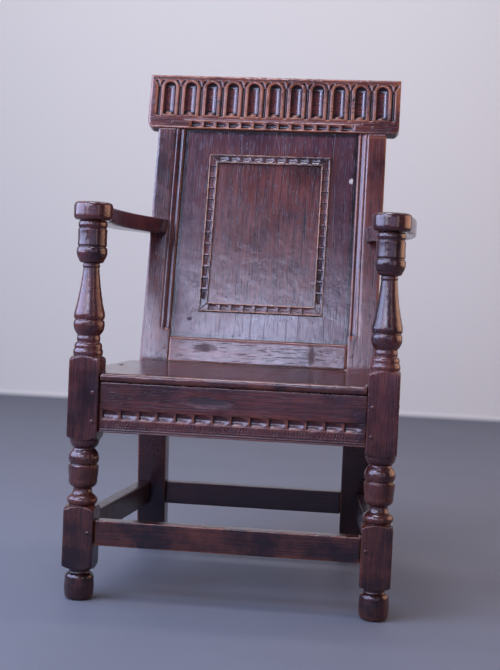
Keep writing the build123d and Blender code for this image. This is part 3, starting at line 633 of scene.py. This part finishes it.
def turnedPosts():
    settings = {"columns": 96, "rowStep": 0.0012, "cornerCrowding": 0.17, "cornerSharpness": 22.0,
                "probe": 0.00025, "blend": 0.0005, "intoArm": 0.004}
    sharp, blend = settings["cornerSharpness"], settings["blend"]
    size = postHigh[0] - postLow[0]
    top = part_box("right_arm")[0][2] + settings["intoArm"]
    steps = np.arange(settings["columns"]) / settings["columns"] * 2 * math.pi
    angles = steps + settings["cornerCrowding"] * np.sin(4 * steps)
    powers = np.abs(np.cos(angles)) ** sharp + np.abs(np.sin(angles)) ** sharp
    square = size / 2 / powers ** (1 / sharp)
    for side, seed in (("left", 3), ("right", 8)):
        node = nodes[side + "_front_post"]
        low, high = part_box(side + "_front_post")
        middle = Vector(((low[0] + high[0]) / 2, (low[1] + high[1]) / 2, 0))
        profile = probeProfile(node, middle, top, settings["probe"])
        profile = evenSteps(profile, settings["rowStep"])
        rings = []
        for height, radius in profile:
            gap = square - radius
            soft = np.where(np.abs(gap) < blend, (blend - np.abs(gap)) ** 2 / (4 * blend), 0)
            reach = np.minimum(square, radius) - soft
            xs, ys = middle.x + reach * np.cos(angles), middle.y + reach * np.sin(angles)
            rings.append(np.stack([xs, ys, np.full(len(angles), height)], axis=1))
        piece = tube(side + "TurnedPost", rings)
        age(piece, seed, Reach=5.0, Chips=0.0015, Ripple=0.0004, RippleSize=0.03)
        material = oak(side + "PostOak", alongZ, seed, polish=0.9, wear=0.45, glow=-0.02,
                       scuff=0.9)
        finish(piece, material, "frame_oak", side + "_front_post")


def probeProfile(node, middle, top, step, clear=0.1):
    # the turner's outline of a post, felt for along its diagonal, where no mortise reaches
    tree = BVHTree.FromPolygons([v.co for v in node.data.vertices],
                                [tuple(p.vertices) for p in node.data.polygons])
    diagonal = Vector((-1, -1, 0)).normalized()
    outline = []
    for height in np.arange(step, top, step):
        start = middle + diagonal * clear + Vector((0, 0, height))
        hit = tree.ray_cast(start, -diagonal)
        if hit[0] is not None:
            outline.append((height, clear - hit[3]))
    outline[0] = (0.0, outline[0][1])
    return np.array(outline)


def evenSteps(outline, step):
    # the same outline with its points an even distance apart along it, a little softened
    runs = np.concatenate([[0], np.cumsum(np.hypot(*np.diff(outline, axis=0).T))])
    places = np.linspace(0, runs[-1], round(runs[-1] / step))
    even = np.stack([np.interp(places, runs, column) for column in outline.T], axis=1)
    even[1:-1] = even[:-2] * 0.2 + even[1:-1] * 0.6 + even[2:] * 0.2
    return even


turnedPosts()
print("front posts turned")


def bentLine(corners, radius, steps):
    # points along a line with one rounded bend, from its foot up
    foot, knee, head = [np.array(c) for c in corners]
    down, up = foot - knee, head - knee
    down, up = down / np.linalg.norm(down), up / np.linalg.norm(up)
    turn = math.pi - math.acos(float(np.dot(down, up)))
    cut = radius * math.tan(turn / 2)
    start, end = knee + down * cut, knee + up * cut
    points = [foot + (start - foot) * t for t in np.linspace(0, 1, steps[0], endpoint=False)]
    across = (down + up) / np.linalg.norm(down + up)
    centre = knee + across * radius / math.cos(turn / 2)
    for t in np.linspace(-0.5, 0.5, steps[1], endpoint=False):
        cosine, sine = math.cos(t * turn), math.sin(t * turn)
        points.append(centre - np.array([[cosine, sine], [-sine, cosine]]) @ across * radius)
    points += [end + (head - end) * t for t in np.linspace(0, 1, steps[2])]
    return np.array(points)


def bentStiles():
    settings = {
        "thickness": 0.044, "arris": 0.0016, "rowStep": 0.004, "faceStep": 0.0011, "bendRows": 10,
        "sideStart": 0.005, "footRim": 0.007, "mouldWidth": 0.022, "edgeDepth": 0.006,
        "quirkWidth": 0.0028, "quirkDepth": 0.0018, "mouldStop": 0.015,
        # how far out from the inner edge, and how deep, in millimetres
        "profile": ((0, 6.0), (1.2, 3.6), (3.2, 2.2), (5.4, 2.0), (7.4, 3.0), (8.8, 4.6),
                    (9.8, 4.4), (12, 2.9), (14, 1.2), (16.5, 0.35), (19.2, 0.1)),
    }
    rake, splay, deep = chair["backRake"], chair["legSplay"], settings["thickness"]
    knee = np.array([kneeY, chair["kneeHeight"]])
    across = np.array([math.cos(rake) + math.cos(splay), math.sin(splay) - math.sin(rake)])
    kneeBack = knee + across / np.linalg.norm(across) * deep / math.cos((rake + splay) / 2)
    head = knee + np.array([rakeSine, rakeCosine]) * chair["crestBottom"]
    headBack = head + np.array([rakeCosine, -rakeSine]) * deep
    foot = np.array([kneeY + chair["kneeHeight"] * math.tan(splay), 0.0])
    footBack = foot + np.array([deep / math.cos(splay), 0.0])
    counts = [round(chair["kneeHeight"] / settings["rowStep"]), settings["bendRows"],
              round(chair["crestBottom"] / settings["rowStep"])]
    fronts = bentLine((foot, knee, head), chair["kneeRadius"], counts)
    backs = bentLine((footBack, kneeBack, headBack), chair["kneeRadius"], counts)
    stop = chair["kneeHeight"] + (chair["openingBottom"] + settings["mouldStop"]) * rakeCosine
    covered = head[1] - settings["rowStep"] * 1.5
    width = stileHigh[0] - stileLow[0]
    section = stileSection(width, deep, settings)
    for side, sign, seed, glow in (("left", -1, 5, -0.03), ("right", 1, 12, 0.11)):
        inner = sign * stileLow[0]
        rings = []
        for front, back in zip(fronts, backs):
            share = min(1.0, max(0.0, (front[1] - stop) / settings["rowStep"]))
            ring = []
            for outward, plain, carved in section:
                depth = (plain + (carved - plain) * share) / deep
                y, z = front + (back - front) * depth
                ring.append((inner + sign * outward, y, z))
            rings.append(ring if sign > 0 else ring[::-1])
        piece = tube(side + "Stile", rings)
        age(piece, seed, Reach=4.0, Chips=0.001, Bulge=0.0009)
        keepUnworn(piece, lambda spot: spot.z > covered or spot.z < settings["footRim"])
        material = oak(side + "StileOak", upSlope, seed, wear=0.8, glow=glow)
        finish(piece, material, "frame_oak", side + "_stile")


def stileSection(width, deep, settings):
    # points round the stile: how far out from its inner face, and how deep, plain and moulded
    arris, step, edge = settings["arris"], settings["faceStep"], settings["edgeDepth"]
    small = arris * 0.3
    inset = deep - small
    places = list(np.arange(arris, settings["mouldWidth"] + step, step))
    places += list(np.linspace(settings["mouldWidth"] + 3 * step, width - arris, 12))
    sides = np.linspace(settings["sideStart"], deep - settings["sideStart"], 9)
    section = [(0.0, arris, edge + arris), (small, small, edge)]
    section += [(outward, 0.0, runMoulding(outward, settings)) for outward in places]
    section += [(width - small, small, small), (width, arris, arris)]
    section += [(width, d, d) for d in sides]
    section += [(width, deep - arris, deep - arris), (width - small, inset, inset)]
    section += [(outward, deep, deep) for outward in np.linspace(width - arris, arris, 16)]
    section += [(small, inset, inset), (0.0, deep - arris, deep - arris)]
    section += [(0.0, d, max(d, edge + 2 * arris)) for d in sides[::-1]]
    return section


def runMoulding(outward, settings):
    # depth of the moulding planed along the inner edge: a bead, a hollow, a round and a quirk
    places, depths = zip(*settings["profile"])
    halfQuirk = settings["quirkWidth"] / 2
    away = abs(outward - settings["mouldWidth"] + halfQuirk) / halfQuirk
    groove = settings["quirkDepth"] * max(0.0, 1 - away)
    return max(groove, float(np.interp(outward * 1000, places, depths, right=0)) / 1000)


bentStiles()
print("stiles bent and moulded")


def crestRail():
    bottom = chair["crestBottom"]
    settings = {
        "width": 0.562, "height": 0.126, "thickness": 0.034, "corner": 0.017, "arris": 0.003,
        "step": 0.00105, "wornDepth": 0.008,
        "flutes": {"Pitch": 0.0476, "Count": 11.0, "Middle": 0.003, "Width": 0.026,
                   "Depth": 0.0095, "Foot": bottom + 0.032, "Crown": bottom + 0.1095,
                   "Dome": 0.009, "VeinWidth": 0.0088, "VeinDepth": 0.0052,
                   "NickWidth": 0.0065, "NickDepth": 0.0034, "NickRise": 0.018,
                   "Margin": 0.017, "TickPitch": 0.0038, "TickDepth": 0.0009},
        "gouges": {"Pitch": 0.028, "Land": 0.0030, "Height": 0.0130, "Depth": 0.0066,
                   "Middle": bottom + 0.0108, "Count": 13.0, "Tip": 2.3, "Sides": 1.6,
                   "Turn": 1.0, "Sink": 0.0013},
        "groove": {"Middle": bottom + 0.0215, "Width": 0.0026, "Depth": 0.0014,
                   "HalfLength": 0.2},
    }

    def halfWidthAt(y):
        below = max(0.0, settings["corner"] - (y - bottom))
        curve = math.sqrt(max(0.0, settings["corner"] ** 2 - below ** 2))
        return settings["width"] / 2 - settings["corner"] + curve

    piece = boardMesh("crestRail", bottom, bottom + settings["height"], settings["thickness"],
                      halfWidthAt, settings)
    applyTree(piece, flutedArcade, **settings["flutes"])
    applyTree(piece, gougeRow, **settings["gouges"])
    applyTree(piece, straightGroove, **settings["groove"])
    piece.data.transform(backPlace)
    age(piece, 21, Reach=22.0, Bulge=0.0010, Chips=0.0008, Ripple=0.0005)
    squareOn = backPlace.inverted()
    keepUnworn(piece, lambda spot: (squareOn @ spot).z < -settings["wornDepth"])
    material = oak("crestOak", alongX, 21, wear=1.2, glow=0.12, grime=1.0)
    finish(piece, material, "frame_oak", "crest_rail")


crestRail()
print("crest rail carved")


def frontRail():
    low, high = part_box("front_seat_rail")
    half, bottom = postLow[0], low[2]
    settings = {
        "setback": 0.010, "thickness": 0.027, "step": 0.00105, "arris": 0.0012,
        "gouges": {"Pitch": 0.0339, "Land": 0.0026, "Height": 0.0175, "Depth": 0.0052,
                   "Middle": bottom + 0.034, "Count": 14.0, "Tip": 3.0, "Sides": 1.9,
                   "Turn": 1.0, "Sink": 0.0006},
        "ticks": {"Pitch": 0.0055, "Middle": bottom + 0.017, "Height": 0.0115,
                  "Depth": 0.0014, "HalfLength": half - 0.01},
        "knot": {"Across": -0.042, "Up": 0.3785, "Length": 0.085, "Height": 0.024,
                 "Depth": 0.0012},
        "quirk": {"Width": 0.0022, "Depth": 0.0018, "HalfLength": half + 0.01},
        "quirkHeights": (0.0042, 0.0084),
        "knotMark": ((0.030, 0.02, 0.0085), (0.018, 0.0065, 0.0075)),
    }
    face = frontY + settings["setback"]
    piece = boardMesh("frontRail", bottom, high[2], settings["thickness"], lambda y: half,
                      settings)
    applyTree(piece, gougeRow, **settings["gouges"])
    applyTree(piece, tickBand, **settings["ticks"])
    applyTree(piece, knotHollow, **settings["knot"])
    for height in settings["quirkHeights"]:
        applyTree(piece, straightGroove, Middle=bottom + height, **settings["quirk"])
    piece.data.transform(Matrix.Translation((0, face, 0)) @ Matrix.Rotation(math.pi / 2, 4, "X"))
    age(piece, 31, Reach=18.0, Bulge=0.0010, Chips=0.0006)
    knot = ((-0.046, face, settings["knot"]["Up"]), *settings["knotMark"])
    material = oak("frontRailOak", alongX, 31, polish=0.72, wear=0.5, glow=0.05, grime=0.8,
                   relief=0.7, marks=(knot,))
    finish(piece, material, "frame_oak", "front_seat_rail")


frontRail()
print("front seat rail carved")


def panelMoulding():
    settings = {
        "width": 0.0195, "height": 0.007, "fillet": 0.003, "channel": 0.0016, "arris": 0.0007,
        # the worn tone is lighter and creamier here: wear on the lands, and a painted gleam for the
        # light they catch
        "step": 0.0008, "worn": (0.40, 0.20, 0.11), "levelSides": 1.8, "uprightSides": 4.0,
        "gouges": {"Pitch": 0.0255, "Land": 0.0046, "Height": 0.0146, "Depth": 0.0054,
                   "Tip": 2.2, "Sink": 0.0},
    }
    width, height = settings["width"], settings["height"]
    low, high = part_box("panel_moulding_bottom")
    halfAcross = (high[0] - low[0]) / 2
    halfUp = panelHalfUp(height)
    middle = chair["openingBottom"] + chair["openingHeight"] / 2
    lift = backPlace @ Matrix.Translation((0, middle, height - chair["panelSetback"]))

    def turned(x, y, angle):  # a strip is drawn along x, turned and carried to its side
        return lift @ Matrix.Translation((x, y, 0)) @ Matrix.Rotation(angle, 4, "Z")

    sides = {
        "bottom": (halfAcross, turned(0, -halfUp, 0.0), 1.0, alongX),
        "top": (halfAcross, turned(0, halfUp, math.pi), -1.0, alongX),
        "right": (halfUp, turned(halfAcross, 0, math.pi / 2), -1.0, upSlope),
        "left": (halfUp, turned(-halfAcross, 0, -math.pi / 2), 1.0, upSlope),
    }
    for seed, (side, (half, placing, turn, grain)) in enumerate(sides.items(), 41):
        piece = boardMesh(side + "Moulding", 0.0, width, height, lambda y, half=half: half - y,
                          settings)
        applyTree(piece, mouldingProfile, Width=width, Fillet=settings["fillet"],
                  Channel=settings["channel"])
        count = int((2 * half - 2 * width) / settings["gouges"]["Pitch"])
        shape = settings["uprightSides" if grain == upSlope else "levelSides"]
        applyTree(piece, gougeRow, Middle=width / 2, Count=float(count), Sides=shape, Turn=turn,
                  **settings["gouges"])
        piece.data.transform(placing)
        age(piece, seed, Reach=36.0, Bulge=0.0012, Chips=0.0005, ChipSize=0.006, Ripple=0.0003)
        material = oak(side + "MouldingOak", grain, seed, wear=0.9, glow=-0.02, grime=1.0,
                       dull=0.85, worn=settings["worn"])
        finish(piece, material, "frame_oak", "panel_moulding_" + side)


def panelHalfUp(thickness):
    # half the height of the moulded frame, up the slope
    low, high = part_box("panel_moulding_right")
    return ((high[2] - low[2]) - thickness * rakeSine) / rakeCosine / 2


panelMoulding()
print("panel moulding mitred")


def backMarks(setback, *spots):
    # marks whose middles are given by how far across and up the slope of the back they are
    return [(backPlace @ Vector((across, up, -setback)), sizes, tone)
            for across, up, sizes, tone in spots]


def plainTimbers():
    # Timbers that keep the CAD shape, with rounded and worn arrises. After each node come its
    # piece's name, size of skin, rounds of smoothing, grain, polish, wear and relief.
    timbers = {
        "back_panel": ("backPanel", 0.0032, 1, upSlope, 1.0, 0.4, 0.75),
        "lower_back_rail": ("lowerBackRail", 0.0022, 2, alongX, 1.1, 1.0, 0.95),
        "seat_board": ("seatBoard", 0.0026, 1, alongX, 1.0, 0.4, 0.5),
        "front_stretcher": ("frontStretcher", 0.0018, 3, alongX, 1.0, 2.2, 0.5),
        "back_stretcher": ("backStretcher", 0.0020, 3, alongX, 0.6, 0.8, 0.5),
        "rear_seat_rail": ("rearRail", 0.0025, 2, alongX, 0.8, 0.6, 0.5),
    }
    pairs = {
        "_seat_rail": ("SideRail", 0.0025, 2, alongY, 0.9, 0.6, 0.5),
        "_stretcher": ("Stretcher", 0.0020, 3, alongY, 0.6, 0.8, 0.5),
        "_arm": ("Arm", 0.0019, 4, alongY, 1.1, 1.0, 0.5),
    }
    for ending, (name, *values) in pairs.items():
        for side in ("left", "right"):
            timbers[side + ending] = (side + name, *values)
    slots = {"back_panel": "panel_oak", "seat_board": "seat_oak"}
    brown = (0.040, 0.013, 0.008)
    marks = {
        # a knot low on the left of the panel and a pale chip high on its right
        "back_panel": backMarks(chair["panelSetback"],
                                (-0.151, 0.105, (0.006, 0.006, 0.004), oakLook["grime"]),
                                (0.181, 0.428, (0.0035, 0.006, 0.006), (0.46, 0.40, 0.37))),
        # two brown knots
        "lower_back_rail": backMarks(0, (-0.112, 0.040, (0.022, 0.006, 0.010), brown),
                                     (0.118, 0.032, (0.006, 0.008, 0.020), brown)),
    }
    openings = {"back_panel": (stileLow[0], chair["openingBottom"], chair["crestBottom"])}
    for seed, (node, values) in enumerate(timbers.items(), 51):
        name, skin, smoothing, grain, polish, wear, relief = values
        piece = wornCopy(name, node, skin, smoothing)
        age(piece, seed, Reach=8.0 if node == "seat_board" else 4.0, Bulge=0.0012)
        material = oak(name + "Oak", grain, seed, polish=polish, wear=wear, relief=relief,
                       glow=0.10 if node in marks else 0.0,
                       scuff=1.0 if node == "front_stretcher" else 0.0,
                       marks=marks.get(node, ()), opening=openings.get(node))
        finish(piece, material, slots.get(node, "frame_oak"), node)


plainTimbers()
print("panel, seat, rails, stretchers and arms worn")


pegLook = {"diameter": 0.0082,
           "segments": {"Vertices": 14, "Side Segments": 3, "Fill Segments": 2}}


def pegTree():
    # a hand-cut peg head on each point, turned along the point's own direction
    tree, size = newTree("pegHeads", ["Diameter", "Length"])
    peg = tree.nodes.new("GeometryNodeMeshCylinder")
    for label, count in pegLook["segments"].items():
        peg.inputs[label].default_value = count
    plug(peg.inputs["Radius"], size["Diameter"] / 2)
    plug(peg.inputs["Depth"], size["Length"])
    here = place(tree)
    x, y, z = separate(tree, here)
    top = z.rise(0.0, 0.0005 + size["Length"] / 2)
    lumps = noiseOf(tree, here, 160.0, 2.0) - 0.5
    offset = combine(tree, x * top * -0.08, y * top * -0.08, lumps * top * 0.0016)
    shaped = moved(tree, Formula(peg.outputs["Mesh"]), offset)
    direction = tree.nodes.new("GeometryNodeInputNamedAttribute")
    direction.data_type = "FLOAT_VECTOR"
    direction.inputs["Name"].default_value = "direction"
    align = tree.nodes.new("FunctionNodeAlignRotationToVector")
    align.axis = "Z"
    plug(align.inputs["Vector"], Formula(direction.outputs[0]))
    points = tree.nodes.new("GeometryNodeInstanceOnPoints")
    plug(points.inputs["Points"], size["Geometry"])
    plug(points.inputs["Instance"], shaped)
    plug(points.inputs["Rotation"], Formula(align.outputs[0]))
    return endTree(tree, Formula(points.outputs[0]), size["Material"])


def pegPoints(nodeName):
    # the middle and direction of every peg in a CAD peg group
    work = bmesh.new()
    work.from_mesh(nodes[nodeName].data)
    bmesh.ops.remove_doubles(work, verts=work.verts, dist=0.00001)
    left = set(work.verts)
    pegs = []
    while left:
        island, edge = set(), [left.pop()]
        while edge:
            vertex = edge.pop()
            island.add(vertex)
            near = {e.other_vert(vertex) for e in vertex.link_edges} & left
            left -= near
            edge += near
        spots = np.array(sorted(tuple(v.co) for v in island))
        middle = spots.mean(axis=0)
        axis = np.linalg.svd(spots - middle)[2][0]
        reach = (spots - middle) @ axis
        low, high = reach.min(), reach.max()
        pegs.append((middle + axis * (high + low) / 2, axis, high - low))
    work.free()
    return sorted(pegs, key=lambda peg: tuple(peg[0]))


def pegHeads():
    tree = pegTree()
    pegOak = oak("pegOak", alongX, 71, wear=0.25, glow=-0.04)
    for name in [name for name in nodes if name.endswith("_pegs")]:
        pegs = pegPoints(name)
        outward = [axis * (-1 if facesInwards(name, middle, axis) else 1)
                   for middle, axis, length in pegs]
        piece = newPiece(name.replace("_pegs", "Pegs").replace("_", "."), [p[0] for p in pegs], [])
        direction = piece.data.attributes.new("direction", "FLOAT_VECTOR", "POINT")
        direction.data.foreach_set("vector", np.array(outward).ravel())
        applyTree(piece, tree, Diameter=pegLook["diameter"], Length=pegs[0][2])
        age(piece, 71, Reach=2.0, Bulge=0.0016, Rounding=0.0, Chips=0.0, Ripple=0.0)
        finish(piece, pegOak, "peg_oak", name, flatOver=20)


def facesInwards(name, middle, axis):
    # True where the axis points away from the face that the peg shows on
    if name == "seat_pegs":
        return axis[2] < 0
    if name.startswith(("side", "arm")):
        return axis[0] * middle[0] < 0
    if name.startswith(("rear", "back")):
        return axis[1] < 0
    return axis[1] > 0


pegHeads()
print("pegs driven")


def floorAndBackdrop():
    settings = {"darkStone": (0.105, 0.112, 0.142), "paleStone": (0.130, 0.138, 0.172),
                "wall": (0.575, 0.555, 0.535), "roughness": 0.7, "stoneScale": 3.0,
                "halfWidth": 12.0, "front": -5.0, "back": 3.4, "top": 9.0, "bend": 0.04}
    material, tree, shader = newMaterial("paleFloor")
    shader.inputs["Roughness"].default_value = settings["roughness"]
    spot = Formula(tree.nodes.new("ShaderNodeTexCoord").outputs["Object"])
    height = separate(tree, spot)[2]
    stone = noiseOf(tree, spot, settings["stoneScale"], 4.0)
    stone = mixColours(tree, stone, settings["darkStone"], settings["paleStone"])
    colour = mixColours(tree, height.rise(0.0, 0.03), stone, settings["wall"])
    plug(shader.inputs["Base Color"], colour)
    # from behind, the backdrop is clear, so that the back of the chair can be looked at
    clear = tree.nodes.new("ShaderNodeBsdfTransparent")
    mix = tree.nodes.new("ShaderNodeMixShader")
    behind = Formula(tree.nodes.new("ShaderNodeNewGeometry").outputs["Backfacing"])
    plug(mix.inputs["Fac"], behind)
    tree.links.new(shader.outputs[0], mix.inputs[1])
    tree.links.new(clear.outputs[0], mix.inputs[2])
    tree.links.new(mix.outputs[0], tree.nodes["Material Output"].inputs["Surface"])
    # floor and backdrop are one sweep, so that no edge shows behind the chair
    back, bend = settings["back"], settings["bend"]
    rows = []
    for x in (-settings["halfWidth"], settings["halfWidth"]):
        curve = [(x, back - bend + bend * math.sin(a), bend - bend * math.cos(a))
                 for a in np.linspace(0.15, math.pi / 2, 12)]
        rows.append([(x, settings["front"], 0.0), (x, back - bend, 0.0), *curve,
                     (x, back, settings["top"])])
    count = len(rows[0])
    faces = [(i, count + i, count + i + 1, i + 1) for i in range(count - 1)]
    floor = newPiece("floor", rows[0] + rows[1], faces)
    floor.data.materials.append(material)
    floor.data.polygons.foreach_set("use_smooth", [True] * len(floor.data.polygons))


def areaLight(name, spot, target, size, watts, colour):
    data = bpy.data.lights.new(name, "AREA")
    data.shape = "RECTANGLE"
    data.size, data.size_y = size
    data.energy = watts
    data.color = colour
    lamp = bpy.data.objects.new(name, data)
    bpy.context.scene.collection.objects.link(lamp)
    lamp.location = spot
    lamp.rotation_euler = (Vector(target) - Vector(spot)).to_track_quat("-Z", "Y").to_euler()


def studioLight():
    # after each lamp's name come its place, what it points at, size, watts and colour
    lamps = {
        "window": ((-2.3, -0.8, 1.4), (0, 0, 0.7), (3.0, 1.6), 98, (0.58, 0.68, 1.0)),
        "paleWindow": ((-1.4, -2.8, 1.5), (0, 0, 0.7), (0.9, 1.3), 21, (0.86, 0.84, 1.0)),
        "highWindow": ((-0.48, -3.1, 1.80), (0, 0.2, 0.6), (1.15, 0.5), 22, (0.70, 0.78, 1.0)),
        "farWindows": ((0.5, -4.6, 0.9), (0, 0, 0.5), (3.4, 1.1), 14, (0.70, 0.66, 1.0)),
        "skylight": ((-1.9, -2.1, 2.9), (0, 0.3, 0.9), (1.3, 1.0), 52, (0.56, 0.69, 1.0)),
        "ceiling": ((-0.3, -0.85, 3.0), (0, -0.1, 0.6), (1.2, 0.6), 30, (0.90, 0.88, 1.0)),
        "slit": ((1.6, -2.3, 1.1), (0.2, 0, 0.5), (0.25, 1.6), 4, (1.0, 0.80, 0.68)),
        "warmWall": ((2.6, 0.5, 1.1), (0, 0, 0.7), (2.4, 1.8), 40, (1.0, 0.55, 0.34)),
        "wallWash": ((-0.5, 0.9, 3.8), (-0.5, 3.2, 1.0), (5.0, 0.8), 92, (1.0, 0.98, 1.0)),
    }
    for name, values in lamps.items():
        areaLight(name, *values)
    world = bpy.data.worlds.new("studio")
    bpy.context.scene.world = world
    world.use_nodes = True
    sky = world.node_tree.nodes["Background"]
    sky.inputs["Color"].default_value = (0.66, 0.68, 1.0, 1)
    sky.inputs["Strength"].default_value = 0.16


def cameraView():
    # lengths are in metres and angles in radians; the posts' front is the zero of the distance
    view = {"x": 0.2570, "beforePosts": 2.1454, "height": 0.5835, "yaw": 0.1059, "pitch": 0.0375,
            "roll": 0.0444, "focalPixels": 1208.8, "framePixels": 500}
    data = bpy.data.cameras.new("camera")
    data.sensor_fit = "HORIZONTAL"
    data.sensor_width = 36.0
    data.lens = view["focalPixels"] * data.sensor_width / view["framePixels"]
    camera = bpy.data.objects.new("camera", data)
    bpy.context.scene.collection.objects.link(camera)
    spot = (view["x"], frontY - view["beforePosts"], view["height"])
    yaw = Matrix.Rotation(view["yaw"], 4, "Z")
    pitch = Matrix.Rotation(math.pi / 2 - view["pitch"], 4, "X")
    roll = Matrix.Rotation(view["roll"], 4, "Z")
    camera.matrix_world = Matrix.Translation(spot) @ yaw @ pitch @ roll
    bpy.context.scene.camera = camera


floorAndBackdrop()
studioLight()
cameraView()
bpy.context.scene.view_settings.view_transform = "Standard"

print("scene ready")
